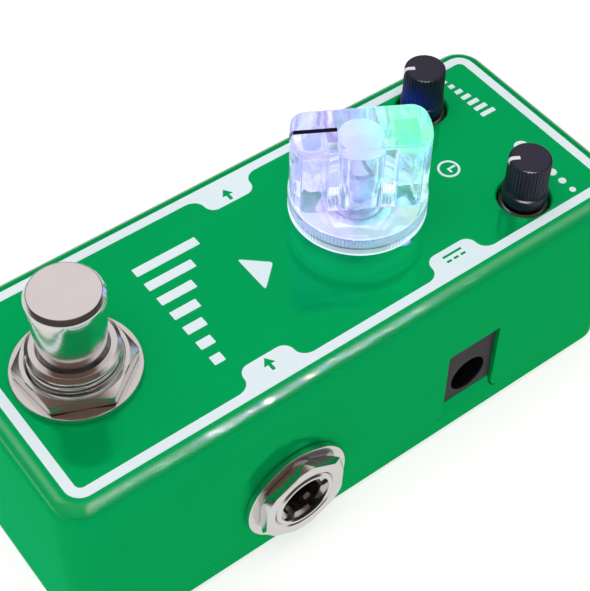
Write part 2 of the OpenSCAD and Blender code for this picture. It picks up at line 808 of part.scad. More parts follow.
// Outline of a spring leaf along +X: its hump reaches into a bore of radius r
function leaf_outline(r, tail, at) =
    let (out = r + leaf_seat, low = r - leaf_bite, tip = r + leaf_lift)
    let (flat = at[0], hump = at[1], reach = at[2])
    [
        [-tail, out - leaf_t], [flat, out - leaf_t], [hump, low], [reach, tip],
        [reach, tip + leaf_t], [hump, low + leaf_t], [flat, out], [-tail, out]
    ];

// Slot in a housing for such a leaf, from its back to past its tip
module leaf_slot(r, tail, reach) {
    translate([-tail, -leaf_w / 2 - leaf_room, 0])
        cube([tail + reach + leaf_room, leaf_w + 2 * leaf_room, r + leaf_seat + leaf_room]);
}

module leaf(r, tail, at) {
    translate([0, leaf_w / 2, 0]) rotate([90, 0, 0]) linear_extrude(leaf_w)
        polygon(leaf_outline(r, tail, at));
}

// Plastic housing of a signal socket, closed behind the plug's tip
module jack_body() {
    bore_r = jack_bore_d / 2 + jack_body_room;
    color("dimgray") difference() {
        translate([jack_back_x, -jack_body_w / 2, jack_z - jack_body_below])
            cube([jack_body_l, jack_body_w, jack_body_below + jack_drop]);
        translate([0, 0, jack_z]) rod_x(2 * bore_r, jack_back_x + jack_back_t, inner_x);
        for (turn = [0, 180]) {
            translate([jack_back_x, 0, jack_z]) rotate([turn, 0, 0])
                leaf_slot(bore_r, over, jack_body_l * jack_leaf_at[2]);
        }
    }
}

// Tip and sleeve leaves, above and below the plug
module jack_contacts() {
    for (turn = [0, 180]) {
        color("gold") translate([jack_back_x, 0, jack_z]) rotate([turn, 0, 0])
            leaf(jack_bore_d / 2, leaf_tail, jack_body_l * jack_leaf_at);
    }
}

module at_input() {
    translate([0, front_y + input_from_front, 0]) children();
}

module at_output() {
    on_left() translate([0, front_y + output_from_front, 0]) children();
}

module input_jack_bush() {
    at_input() jack_bush();
}

module input_jack_nut() {
    at_input() jack_nut();
}

module input_jack_washer() {
    at_input() jack_washer();
}

module input_jack_body() {
    at_input() jack_body();
}

module input_jack_contacts() {
    at_input() jack_contacts();
}

module output_jack_bush() {
    at_output() jack_bush();
}

module output_jack_nut() {
    at_output() jack_nut();
}

module output_jack_washer() {
    at_output() jack_washer();
}

module output_jack_body() {
    at_output() jack_body();
}

module output_jack_contacts() {
    at_output() jack_contacts();
}

// Housing of the power socket with its plug hole
module power_jack_body() {
    back_x = power_face_x - power_l;
    bore_back_x = power_face_x - power_bore_depth;
    color("dimgray") translate([0, power_y, 0]) difference() {
        translate([back_x, -power_w / 2, board_low_z - power_h]) cube([power_l, power_w, power_h]);
        translate([0, 0, power_z]) rod_x(power_bore_d, bore_back_x, power_face_x + over);
        translate([0, 0, power_z]) rod_x(power_pin_d + 2 * seat_gap, back_x - over, power_face_x);
        translate([back_x, 0, power_z]) leaf_slot(power_bore_d / 2, over, power_l * power_leaf_at[2]);
    }
}

// Centre pin, rounded at its tip
module power_jack_pin() {
    tip_x = power_face_x - power_pin_in;
    pin_r = power_pin_d / 2;
    color("gainsboro") translate([0, power_y, power_z]) {
        rod_x(power_pin_d, power_face_x - power_l, tip_x - pin_r);
        translate([tip_x - pin_r, 0, 0]) sphere(pin_r);
    }
}

// Spring leaf that bears on the plug's barrel
module power_jack_contact() {
    color("gold") translate([power_face_x - power_l, power_y, power_z])
        leaf(power_bore_d / 2, leaf_tail, power_l * power_leaf_at);
}

// Plan of the bar: two flats whose corners run into arcs about the knob's axis
function bar_points(l, w, end_r) =
    let (
        fillet_y = w / 2 - end_r,
        fillet_x = sqrt(pow(l / 2 - end_r, 2) - pow(fillet_y, 2)),
        swing = atan2(fillet_y, fillet_x)
    )
    concat(
        arc(0, 0, l / 2, -swing, swing),
        arc(fillet_x, fillet_y, end_r, swing, 90),
        arc(-fillet_x, fillet_y, end_r, 90, 180 - swing),
        arc(0, 0, l / 2, 180 - swing, 180 + swing),
        arc(-fillet_x, -fillet_y, end_r, 180 + swing, 270),
        arc(fillet_x, -fillet_y, end_r, 270, 360 - swing)
    );

// Clear knob: a round skirt with a bar across it, hollow beside the shaft
module time_knob() {
    pocket_from = time_shaft_d / 2 + time_hub_t;
    groove_w = 0.8;
    groove_depth = 0.3;
    hollow_h = time_knob_h - time_roof_t;
    color("lavender", 0.6) translate([0, time_y, time_low_z]) rotate([0, 0, pointer_angle]) difference() {
        union() {
            cylinder(d = time_skirt_d, h = time_skirt_h);
            linear_extrude(time_knob_h) polygon(bar_points(time_bar_l, time_bar_w, time_bar_end_r));
        }
        translate([0, 0, -over]) cylinder(d = time_recess_d, h = time_recess_h + over);
        translate([0, 0, -over]) cylinder(d = time_shaft_d + 2 * seat_gap, h = hollow_h + over);
        for (side = [-1, 1]) {
            translate([side > 0 ? pocket_from : -pocket_from - pocket_l, -pocket_w / 2, -over])
                cube([pocket_l, pocket_w, hollow_h + over]);
        }
        translate([time_shaft_d / 2, -groove_w / 2, time_knob_h - groove_depth])
            cube([time_bar_l / 2, groove_w, groove_depth + over]);
    }
}

// Metal shaft with a screwdriver slot across its end
module time_shaft() {
    low_z = pot_top_z - pot_body_h + pot_floor_t + run_gap;
    high_z = time_low_z + time_recess_h + time_shaft_in;
    slot_w = 0.8;
    slot_h = 1.6;
    color("silver") translate([0, time_y, 0]) difference() {
        translate([0, 0, low_z]) cylinder(d = time_shaft_d, h = high_z - low_z);
        translate([-time_shaft_d, -slot_w / 2, high_z - slot_h])
            cube([2 * time_shaft_d, slot_w, slot_h + over]);
    }
}

// Body of a potentiometer on the main board, bored for its shaft
module pot_body(x, y, w, l, shaft_d) {
    shaft_room = 0.3;
    color("steelblue") translate([x, y, board_top_z]) difference() {
        translate([-w / 2, -l / 2, 0]) cube([w, l, pot_body_h]);
        translate([0, 0, pot_floor_t]) cylinder(d = shaft_d + 2 * shaft_room, h = pot_body_h);
    }
}

// Threaded bush of a potentiometer, from its body up to high_z
module pot_bush(x, y, shaft_d, high_z) {
    chamfer = 0.4;
    bore_r = shaft_d / 2 + run_gap;
    rise = high_z - pot_top_z;
    color("silver") translate([x, y, pot_top_z]) rotate_extrude() polygon([
        [bore_r, 0],
        [pot_bush_d / 2, 0],
        [pot_bush_d / 2, rise - chamfer],
        [pot_bush_d / 2 - chamfer, rise],
        [bore_r, rise]
    ]);
}

module time_pot_body() {
    pot_body(0, time_y, time_pot_w, time_pot_w, time_shaft_d);
}

module time_pot_bush() {
    pot_bush(0, time_y, time_shaft_d, top_z + time_bush_rise);
}

module time_pot_nut() {
    color("silver") translate([0, time_y, 0]) rotate([0, 0, lamp_angle + 30])
        hex_nut(pot_nut_af, pot_bush_d + 2 * seat_gap, top_z + pot_washer_t, pot_nut_t);
}

module time_pot_washer() {
    color("gainsboro") translate([0, time_y, 0])
        ring(pot_washer_d, pot_bush_d + 2 * hole_gap, top_z, pot_washer_t);
}

// Round lamps on two legs each, standing in the top under the clear knob
module time_lights() {
    dome_z = top_z + lamp_rise - lamp_d / 2;
    lamp_low_z = ceiling_z - lamp_rim_t;
    for (turn = lamp_turns) {
        color("white") translate([0, time_y, 0])
            rotate([0, 0, lamp_angle + turn]) translate([lamp_reach, 0, 0]) {
            translate([0, 0, dome_z]) sphere(d = lamp_d);
            translate([0, 0, lamp_low_z]) cylinder(d = lamp_d, h = dome_z - lamp_low_z);
            translate([0, 0, lamp_low_z]) cylinder(d = lamp_d + 2 * lamp_rim_w, h = lamp_rim_t);
            for (side = [-1, 1]) {
                translate([0, side * lamp_leg_pitch, board_top_z])
                    cylinder(d = lamp_leg_d, h = lamp_low_z - board_top_z);
            }
        }
    }
}

// Points round a fluted rim: each rib has a flat crest and straight flanks
function rib_points(r, depth, n) =
    [for (i = [0 : n - 1], edge = [[-0.3, -depth], [-0.15, 0], [0.15, 0], [0.3, -depth]])
        let (a = 360 * (i + edge[0]) / n, q = r + edge[1]) [q * cos(a), q * sin(a)]];

// Fluted knob with a plain collar, a bevelled top and a groove for the pointer
module small_knob(side) {
    r = small_knob_d / 2;
    bevel = 0.5;
    flute_depth = 0.15;
    groove_w = 0.7;
    groove_depth = 0.25;
    groove_from = 1;
    rib_top = small_knob_h - bevel;
    core_r = r - flute_depth;
    color("black") translate([side * small_reach, small_y, small_low_z]) rotate([0, 0, pointer_angle])
        difference() {
            union() {
                cylinder(d = small_collar_d, h = small_collar_h);
                linear_extrude(rib_top) polygon(rib_points(r, flute_depth, flute_count));
                translate([0, 0, rib_top]) cylinder(r1 = core_r, r2 = core_r - flute_depth, h = bevel);
            }
            translate([0, 0, -over])
                cylinder(d = small_shaft_d + 2 * seat_gap, h = small_shaft_in + seat_gap + over);
            translate([groove_from, -groove_w / 2, small_knob_h - groove_depth])
                cube([r, groove_w, groove_depth + over]);
        }
}

module small_shaft(side) {
    low_z = pot_top_z - pot_body_h + pot_floor_t + run_gap;
    color("gray") translate([side * small_reach, small_y, low_z])
        cylinder(d = small_shaft_d, h = small_low_z + small_shaft_in - low_z);
}

module level_knob() {
    small_knob(-1);
}

module level_shaft() {
    small_shaft(-1);
}

module level_pot_body() {
    pot_body(-small_reach, small_y, pot_body_w, pot_body_l, small_shaft_d);
}

module level_pot_bush() {
    pot_bush(-small_reach, small_y, small_shaft_d, top_z - small_bush_drop);
}

module repeat_knob() {
    small_knob(1);
}

module repeat_shaft() {
    small_shaft(1);
}

module repeat_pot_body() {
    pot_body(small_reach, small_y, pot_body_w, pot_body_l, small_shaft_d);
}

module repeat_pot_bush() {
    pot_bush(small_reach, small_y, small_shaft_d, top_z - small_bush_drop);
}

// Main board that carries the sockets and the potentiometers
module circuit_board() {
    color("darkgreen") translate([-board_w / 2, board_front_y, board_low_z])
        cube([board_w, board_l, board_t]);
}

// One packaged chip with two rows of legs
module chip(x, y, w, l, h, legs) {
    color("black") translate([x, board_front_y + y, board_top_z]) {
        translate([-w / 2, -l / 2, chip_stand]) cube([w, l, h]);
        for (side = [-1, 1], i = [0 : legs - 1]) {
            leg_y = (i - (legs - 1) / 2) * chip_leg_pitch - chip_leg_w / 2;
            translate([side * w / 2 - chip_leg_l / 2, leg_y, 0]) cube([chip_leg_l, chip_leg_w, h / 2]);
        }
    }
}

// Delay chip and two amplifier chips
module circuit_chips() {
    amp_x = board_w / 2 - amp_chip_from_side;
    chip(chip_from_side - board_w / 2, chip_from_edge, chip_w, chip_l, chip_h, chip_legs);
    for (i = [0, 1]) {
        amp_y = amp_chip_from_edge + i * amp_chip_pitch;
        chip(amp_x, amp_y, amp_chip_w, amp_chip_l, amp_chip_h, amp_chip_legs);
    }
}

// Round capacitors standing on the main board
module circuit_capacitors() {
    side_x = board_w / 2 - can_from_side;
    row_y = board_front_y + can_from_edge;
    places = [
        for (side = [-1, 1], row = [0, 1]) [side * side_x, row_y + row * can_row_gap],
        [can_pitch - side_x, row_y],
        [0, small_y + can_rear_gap]
    ];
    for (place = places) {
        color("slategray") translate([place[0], place[1], board_top_z]) cylinder(d = can_d, h = can_h);
    }
}

enclosure();
base_tray();
base_screws();
base_pad();
footswitch_cap();
footswitch_plunger();
footswitch_spring();
footswitch_bush();
footswitch_nut();
footswitch_washer();
footswitch_inner_nut();
footswitch_body();
footswitch_lugs();
switch_board();
switch_ribbon();
input_jack_bush();
input_jack_nut();
input_jack_washer();
input_jack_body();
input_jack_contacts();
output_jack_bush();
output_jack_nut();
output_jack_washer();
output_jack_body();
output_jack_contacts();
power_jack_body();
power_jack_pin();
power_jack_contact();
time_knob();
time_shaft();
time_pot_body();
time_pot_bush();
time_pot_nut();
time_pot_washer();
time_lights();
level_knob();
level_shaft();
level_pot_body();
level_pot_bush();
repeat_knob();
repeat_shaft();
repeat_pot_body();
repeat_pot_bush();
circuit_board();
circuit_chips();
circuit_capacitors();
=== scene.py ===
"""Looks of the mini delay pedal: smooth outer pieces, materials, stage and camera.

Every new piece is a surface over two parameters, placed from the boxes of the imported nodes.
Lengths inside the builders are millimetres and become metres when a mesh is made.
"""

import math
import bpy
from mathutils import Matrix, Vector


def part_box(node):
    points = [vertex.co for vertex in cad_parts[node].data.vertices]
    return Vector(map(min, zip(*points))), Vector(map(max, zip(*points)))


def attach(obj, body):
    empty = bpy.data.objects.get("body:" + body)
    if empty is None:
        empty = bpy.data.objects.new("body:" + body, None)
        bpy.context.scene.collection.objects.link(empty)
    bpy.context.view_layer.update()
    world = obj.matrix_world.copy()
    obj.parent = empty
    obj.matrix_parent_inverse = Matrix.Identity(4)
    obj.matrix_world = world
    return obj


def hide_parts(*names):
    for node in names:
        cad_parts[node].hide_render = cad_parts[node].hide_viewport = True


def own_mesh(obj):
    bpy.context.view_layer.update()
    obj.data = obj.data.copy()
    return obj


bl_info = {
    "name": "Mini delay pedal",
    "version": (1, 0, 0),
    "blender": (4, 5, 0),
    "location": "3D View > Sidebar > Pedal",
    "description": "Builds the pedal's outer pieces, its materials and a plain studio",
    "category": "Object",
}

import bmesh
import bpy
import numpy as np
from mathutils import Matrix, Vector

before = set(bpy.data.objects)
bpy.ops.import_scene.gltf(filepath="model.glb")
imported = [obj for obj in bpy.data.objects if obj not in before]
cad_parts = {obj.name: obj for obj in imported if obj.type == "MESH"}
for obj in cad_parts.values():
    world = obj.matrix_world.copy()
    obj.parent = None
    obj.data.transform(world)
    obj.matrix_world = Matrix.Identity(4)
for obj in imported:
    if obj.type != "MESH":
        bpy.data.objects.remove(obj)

MM = 0.001
FULL = 2 * np.pi


def span(node):
    """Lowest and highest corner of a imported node, in millimetres."""
    low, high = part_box(node)
    return np.array(low) / MM, np.array(high) / MM


def middle(node):
    """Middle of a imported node's box, in millimetres."""
    low, high = span(node)
    return (low + high) / 2


def extent(node, axis=2):
    """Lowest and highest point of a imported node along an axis, in millimetres."""
    low, high = span(node)
    return low[axis], high[axis]


def on_plan(node):
    """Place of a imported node's middle in plan, at height 0."""
    return (*middle(node)[:2], 0)


def on_side(node):
    """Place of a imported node's middle seen along X, at X 0."""
    return (0, *middle(node)[1:])


HALF_W, HALF_L, TOP = span("enclosure")[1]
SEAM = extent("enclosure")[0]
TRAY = extent("base_tray")[0]
FOOT = middle("footswitch_bush")
TIME = middle("time_shaft")
POWER_LOW, POWER_HIGH = span("power_jack_body")
POINTER = math.radians(-120.0)
LAMPS = np.radians([20.0, 80.0])
JACKS = (("input", 0.0), ("output", np.pi))

# Radii in millimetres that a piece shares with its hole, its nut or its washer, and the room left round them
FOOT_R = 6.0
JACK_R = 4.7
POT_R = 3.5
LAMP_R = 1.5
LAMP_RING_R = 7.0
DIAL_HOLE_R = 3.825
NUT_ROOM = 0.02
WASHER_ROOM = 0.2

# Sizes of the clear knob in millimetres, which its shape, its pointer and its masks share
SKIRT_R = 9.5
SKIRT = 3.35
BAR_LONG = 18.6
BAR_WIDE = 8.0
BAR_END_R = 2.2
HUB_R = 3.02
RECESS_R = 8.65
RECESS = 1.2
POCKET_NEAR = 4.5
POCKET_FAR = 7.7
POCKET_HALF = 2.3
ROOF_THICK = 2.4

# Angles in degrees past which an edge stays sharp
CREASE = 38.0
FINE_CREASE = 30.0
NUT_CREASE = 25.0
CAP_CREASE = 50.0

# How far a cutter runs past a face, in millimetres
PAST = 1.0


# Surfaces

def weave(grid, ring=True, loop=False):
    """Points and quads of a grid: its columns close up when ring, its rows when loop."""
    rows, cols = grid.shape[:2]
    i, j = np.meshgrid(np.arange(rows - (not loop)), np.arange(cols - (not ring)), indexing="ij")
    up, across = (i + 1) % rows, (j + 1) % cols
    quads = np.stack([i * cols + j, i * cols + across, up * cols + across, up * cols + j], axis=-1)
    return grid.reshape(-1, 3), quads.reshape(-1, 4)


def soften(path, reach, closed=False, steps=3):
    """A polyline whose corners give way to parabolas that start and end reach away from them."""
    path = np.asarray(path, float)
    spots = path if closed else path[1:-1]
    before = np.roll(path, 1, axis=0) if closed else path[:-2]
    after = np.roll(path, -1, axis=0) if closed else path[2:]
    reach = np.broadcast_to(np.asarray(reach, float), len(spots))[:, None]
    back = (before - spots) / np.linalg.norm(before - spots, axis=1, keepdims=True)
    ahead = (after - spots) / np.linalg.norm(after - spots, axis=1, keepdims=True)
    t = np.linspace(0, 1, steps + 1)[None, :, None]
    start, end = (spots + back * reach)[:, None], (spots + ahead * reach)[:, None]
    curve = (1 - t) ** 2 * start + 2 * t * (1 - t) * spots[:, None] + t ** 2 * end
    curve = curve.reshape(-1, path.shape[1])
    return curve if closed else np.concatenate([path[:1], curve, path[-1:]])


def corners(x0, x1, y0, y1):
    """The four corners of a rectangle, in turn."""
    return [(x0, y0), (x1, y0), (x1, y1), (x0, y1)]


def arc(centre, radius, first, last, steps=8):
    """Points of an arc about a centre, at even angles from the first to the last."""
    theta = np.linspace(first, last, steps + 1)
    return np.stack([centre[0] + radius * np.cos(theta), centre[1] + radius * np.sin(theta)], axis=1)


def braced(loop, reach=0.04):
    """A closed profile with a point near each end of its long stretches, so that they shade flat."""
    made = []
    for a, b in zip(loop, np.roll(loop, -1, axis=0)):
        made.append(a)
        size = np.linalg.norm(b - a)
        if size > 6 * reach:
            made += [a + (b - a) * reach / size, b + (a - b) * reach / size]
    return np.array(made)


def around(count, first=0.0):
    """Angles of so many columns round a full turn."""
    return first + np.arange(count) * FULL / count


def lathe(profile, angles=None, bend=None, loop=False):
    """Surface of revolution: radius and height run along the profile, the angle round the axis.
    bend may change radius and height by the angle."""
    theta = around(96) if angles is None else np.asarray(angles)
    profile = np.asarray(profile, float)
    size = (len(profile), len(theta))
    r, z, turn = (np.broadcast_to(values, size) for values in (profile[:, :1], profile[:, 1:], theta))
    if bend:
        r, z = bend(r, z, turn)
    return weave(np.stack([r * np.cos(turn), r * np.sin(turn), z], axis=-1), loop=loop)


def prism(outline, low, high, centre=None):
    """Closed prism over a plan outline, both ends fanned out from a centre that sees all of it."""
    outline = np.asarray(outline, float)
    hub = np.broadcast_to(outline.mean(axis=0) if centre is None else centre, outline.shape)
    plan = np.stack([hub, outline, outline, hub])
    rise = np.broadcast_to(np.array([low, low, high, high], float)[:, None], plan.shape[:2])
    return weave(np.concatenate([plan, rise[..., None]], axis=-1))


def tube(rings):
    """Closed tube through rings of points, its first and last ring closed to their middles."""
    rings = np.asarray(rings, float)
    ends = np.broadcast_to(rings.mean(axis=1, keepdims=True), rings.shape)
    return weave(np.concatenate([ends[:1], rings, ends[-1:]]))


def round_rect(half_w, half_l, corner, inset, steps=10):
    """Loops of a rectangle with round corners, each drawn in by its inset."""
    inset = np.atleast_1d(np.asarray(inset, float))[:, None, None]
    quarter = np.linspace(0, np.pi / 2, steps + 1)
    theta = (np.arange(4)[:, None] * np.pi / 2 + quarter)[None]
    sx = np.array([1, -1, -1, 1])[None, :, None]
    sy = np.array([1, 1, -1, -1])[None, :, None]
    deep = np.maximum(inset, corner)
    x = sx * np.maximum(half_w - deep, 0) + np.maximum(corner - inset, 0) * np.cos(theta)
    y = sy * np.maximum(half_l - deep, 0) + np.maximum(corner - inset, 0) * np.sin(theta)
    return np.stack([x, y], axis=-1).reshape(len(inset), -1, 2)


def shell(half_w, half_l, corner, profile, loop=False):
    """Surface swept round a rounded rectangle: inset and height run along the profile."""
    profile = np.asarray(profile, float)
    plan = round_rect(half_w, half_l, corner, profile[:, 0])
    rise = np.broadcast_to(profile[:, 1:, None], plan.shape[:2] + (1,))
    return weave(np.concatenate([plan, rise], axis=-1), loop=loop)


def move(sheet, offset, turn=0.0):
    """A sheet turned about Z and then moved."""
    points, quads = sheet
    c, s = math.cos(turn), math.sin(turn)
    return points @ np.array([[c, s, 0], [-s, c, 0], [0, 0, 1]]) + np.asarray(offset, float), quads


def lay_x(sheet):
    """A sheet about Z laid down so that its axis runs along X."""
    return sheet[0][:, [2, 0, 1]], sheet[1]


def lay_y(sheet):
    """A sheet about Z laid down so that its axis runs along Y and its Y up along Z."""
    return sheet[0][:, [0, 2, 1]], sheet[1][:, ::-1]


def hex_nut(across, bore, thick, first, slope=0.577, crown=-0.15, back=0.0):
    """Closed hex nut: the radius follows six flats, and cones of slope and back take the corners off
    the top and the underside outside a circle that is crown wider than the flats."""
    face = across / 2 + crown
    blunt = across / 2 * 1.14
    bevel, drop, draw, lift, lip = 0.2, 0.06, 0.05, 0.02, 0.3

    def flats(r, z, theta):
        flat = np.minimum(across / 2 / np.cos((theta - first) % (np.pi / 3) - np.pi / 6), blunt)
        over = np.maximum(flat - face, 0)
        turned = thick - over * slope
        shapes = {
            1: (np.minimum(flat, face) - bevel, 0 * z),
            2: (flat, bevel + over * back),
            3: (flat, turned - drop),
            4: (flat - draw, turned + lift),
            5: (np.minimum(face, flat - 2 * draw), 0 * z + thick),
        }
        r, z = r.copy(), z.copy()
        for row, (radius, height) in shapes.items():
            r[row], z[row] = radius[row], height[row]
        return r, z

    rows = [(bore, 0)] + [(face, 0)] * 4 + [(face, thick), (bore + lip, thick), (bore, thick - lip)]
    return lathe(rows, around(144, first), flats, loop=True)


def washer(outer, bore, low, high, ease=0.15):
    """Closed flat ring with eased edges."""
    return lathe(braced(soften(corners(bore, outer, low, high), ease, closed=True)), loop=True)


def threaded(radius, low, high, pitch, depth):
    """Bend for a lathe: a helical groove on the wall of that radius between two heights."""
    def bend(r, z, theta):
        fade = np.clip(np.minimum(z - low, high - z) / pitch, 0, 1) * np.isclose(r, radius)
        return r - depth * fade * (0.5 - 0.5 * np.cos(FULL * (z / pitch) - theta)), z
    return bend


def wall_rows(radius, low, high, pitch):
    """Profile points up a threaded wall, eight to a turn of the thread."""
    z = np.linspace(low, high, int(round((high - low) / pitch * 8)) + 1)
    return list(zip(np.full(len(z), radius), z))


# Objects

def solid(name, sheets, crease=CREASE):
    """One mesh object from sheets, its touching points joined and its sharp edges marked."""
    starts = np.cumsum([0] + [len(points) for points, _ in sheets])
    points = np.concatenate([points for points, _ in sheets]) * MM
    quads = np.concatenate([quads + start for (_, quads), start in zip(sheets, starts)])
    mesh = bpy.data.meshes.new(name)
    mesh.from_pydata(points.tolist(), [], quads.tolist())
    made = bpy.data.objects.new(name, mesh)
    bpy.context.scene.collection.objects.link(made)
    return shade(made, crease)


def shade(made, crease=CREASE):
    """Joins points that coincide, then shades smooth between the edges sharper than the crease."""
    work = bmesh.new()
    work.from_mesh(made.data)
    bmesh.ops.remove_doubles(work, verts=work.verts, dist=2e-7)
    bmesh.ops.dissolve_degenerate(work, edges=work.edges, dist=1e-7)
    work.to_mesh(made.data)
    work.free()
    made.data.polygons.foreach_set("use_smooth", np.ones(len(made.data.polygons), bool))
    made.data.set_sharp_from_angle(angle=math.radians(crease))
    return made


def combine(made, sheets, operation, crease=CREASE):
    """Joins sheets to a piece or cuts them out of it, and leaves a plain mesh."""
    tool = solid(made.name + "_tool", sheets)
    step = made.modifiers.new("combine", "BOOLEAN")
    step.solver = "EXACT"
    step.use_self = True
    step.operation = operation
    step.object = tool
    mesh = bpy.data.meshes.new_from_object(made.evaluated_get(bpy.context.evaluated_depsgraph_get()))
    made.modifiers.clear()
    old, made.data = made.data, mesh
    mesh.name = made.name
    bpy.data.meshes.remove(old)
    bpy.data.meshes.remove(tool.data)
    if not len(mesh.polygons):
        raise RuntimeError("nothing was left of " + made.name)
    shade(made, crease)


def fit(made, body, finish, slot, *nodes):
    """Gives a piece its material and its body, and hides the nodes it stands for. The slot is not used."""
    made.data.materials.clear()
    made.data.materials.append(finish)
    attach(made, body)
    if nodes:
        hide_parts(*nodes)


# Materials

class Wire:
    """One value in a node tree. Arithmetic on wires adds math nodes."""

    def __init__(self, tree, socket=None):
        self.tree = tree
        self.socket = socket

    def node(self, kind, settings=None, inputs=None, out=0):
        """Adds a node of any kind, sets it, feeds its inputs and gives the wire of one output."""
        made = self.tree.nodes.new(kind)
        for key, value in (settings or {}).items():
            setattr(made, key, value)
        for key, value in (inputs or {}).items():
            if isinstance(value, Wire):
                self.tree.links.new(value.socket, made.inputs[key])
            else:
                made.inputs[key].default_value = value
        return Wire(self.tree, made.outputs[out])

    def math(self, operation, *values):
        """A math node on values that are wires or numbers."""
        return self.node("ShaderNodeMath", {"operation": operation}, dict(enumerate(values)))

    def to(self, operation):
        """A math node on this wire alone."""
        return self.math(operation, self)

    def __add__(self, other):
        return self.math("ADD", self, other)

    def __sub__(self, other):
        return self.math("SUBTRACT", self, other)

    def __rsub__(self, other):
        return self.math("SUBTRACT", other, self)

    def __mul__(self, other):
        return self.math("MULTIPLY", self, other)

    def __truediv__(self, other):
        return self.math("DIVIDE", self, other)

    def __rtruediv__(self, other):
        return self.math("DIVIDE", other, self)

    __radd__ = __add__
    __rmul__ = __mul__

    def axis(self, index):
        """One part of a vector or a colour."""
        return self.node("ShaderNodeSeparateXYZ", None, {0: self}, index)

    def noise(self, scale, detail=2.0):
        """Noise from 0 to 1 at this place."""
        return self.node("ShaderNodeTexNoise", None, {"Vector": self, "Scale": scale, "Detail": detail})

    def ease(self, low, high):
        """Rises from 0 to 1 between two values."""
        return self.node("ShaderNodeMapRange", {"interpolation_type": "SMOOTHSTEP"},
                         {"Value": self, "From Min": low, "From Max": high})

    def mix(self, start, end):
        """Colour from start to end as this wire goes from 0 to 1."""
        return self.node("ShaderNodeMix", {"data_type": "RGBA"}, {0: self, 6: start, 7: end}, 2)

    def bump(self, strength, distance):
        """Normal of a surface that this wire raises."""
        return self.node("ShaderNodeBump", None, {"Strength": strength, "Distance": distance, "Height": self})


FINISHES = {}


def rgba(colour, scale=1.0):
    """A colour times a scale, with an alpha of 1."""
    return tuple(c * scale for c in tuple(colour)[:3]) + (1.0,)


def surface(name, recipe):
    """A material whose shader inputs come from a recipe fed with object coordinates in metres."""
    if name in FINISHES:
        return FINISHES[name]
    made = FINISHES[name] = bpy.data.materials.new(name + "_finish")
    made.use_nodes = True
    shader = made.node_tree.nodes["Principled BSDF"]
    place = Wire(made.node_tree).node("ShaderNodeTexCoord", out="Object")
    for key, value in recipe(place).items():
        if isinstance(value, Wire):
            made.node_tree.links.new(value.socket, shader.inputs[key])
        else:
            shader.inputs[key].default_value = value
    return made


def grained(name, colour, rough, metal=0.0, contrast=0.12, grain=900.0, depth=0.0, specular=0.5):
    """Material with a mottled colour and roughness, and a fine bump where depth is given in millimetres."""
    def recipe(place):
        cloud = place.noise(grain / 12, 3.0)
        fine = place.noise(grain, 2.0)
        made = {
            "Base Color": cloud.mix(rgba(colour, 1 - contrast), rgba(colour, 1 + contrast)),
            "Roughness": rough * (0.8 + fine * 0.4),
            "Metallic": metal,
            "Specular IOR Level": specular,
        }
        if depth:
            made["Normal"] = fine.bump(0.5, depth * MM)
        return made
    return surface(name, recipe)


def turned_metal(name, colour, rough, centre):
    """Turned metal: roughness in fine rings about an upright axis through the centre, in millimetres."""
    ripple = 90000.0

    def recipe(place):
        x, y = (place.axis(i) - centre[i] * MM for i in (0, 1))
        radius = (x * x + y * y).to("SQRT")
        rings = (radius * ripple).to("SINE")
        cloud = place.noise(250.0, 3.0)
        return {
            "Base Color": cloud.mix(rgba(colour, 0.9), rgba(colour, 1.05)),
            "Roughness": rough * (0.85 + rings * 0.12 + cloud * 0.3),
            "Metallic": 1.0,
        }
    return surface(name, recipe)


# Settings

def length(name, description, mm):
    """A length that is given in millimetres and kept in metres."""
    return bpy.props.FloatProperty(
        name=name, description=description, default=mm * MM, min=0.0, unit="LENGTH", precision=5)


def tint(name, description, colour):
    """A colour."""
    return bpy.props.FloatVectorProperty(
        name=name, description=description, default=colour, subtype="COLOR", size=3, min=0.0, max=1.0)


def amount(name, description, value, unit="NONE"):
    """A number that isn't negative."""
    return bpy.props.FloatProperty(name=name, description=description, default=value, min=0.0, unit=unit)


def number(name, description, value, least):
    """A whole number that isn't below the least."""
    return bpy.props.IntProperty(name=name, description=description, default=value, min=least)


class CaseLook(bpy.types.PropertyGroup):
    edge: length("Edge radius", "Radius of the rounded top edge", 2.5)
    corner: length("Corner radius", "Radius of the upright corners", 4.5)
    wall: length("Wall", "Thickness of the walls and the top", 2.0)
    seam_bevel: length("Seam bevel", "Bevel of the case's lower edge at the seam", 0.03)
    hole_bevel: length("Hole bevel", "Bevel round the holes", 0.2)
    hole_gap: length("Hole gap", "Room round what stands in a hole", 0.2)
    notch_radius: length("Notch radius", "Radius where the power notch meets the seam", 1.6)
    tongue_gap: length("Tongue gap", "Gap round the tongue in the notch", 0.2)
    paint: tint("Paint", "Colour of the paint", (0.0, 0.4, 0.11))
    gloss: tint("Gloss", "Colour of the paint's reflections at a flat angle", (0.0, 1.0, 0.5))
    mirror: amount("Mirror", "Share of the paint that mirrors its surroundings", 0.36)


class PrintLook(bpy.types.PropertyGroup):
    inset: length("Border inset", "Distance from the case side to the border line", 2.35)
    width: length("Border width", "Width of the border line", 1.4)
    film: length("Film", "Height of the print above the paint", 0.03)
    tab_reach: length("Tab reach", "How far a tab runs in from the border line", 3.25)
    tab_half: length("Tab half width", "Half width of a tab's straight inner edge", 2.3)
    tab_round: length("Tab radius", "Radius of a tab's corners", 1.6)
    tab_flare: length("Tab flare", "Half width of a tab where it meets the border line", 5.9)
    ink: tint("Ink", "Colour of the print", (0.78, 0.92, 0.97))


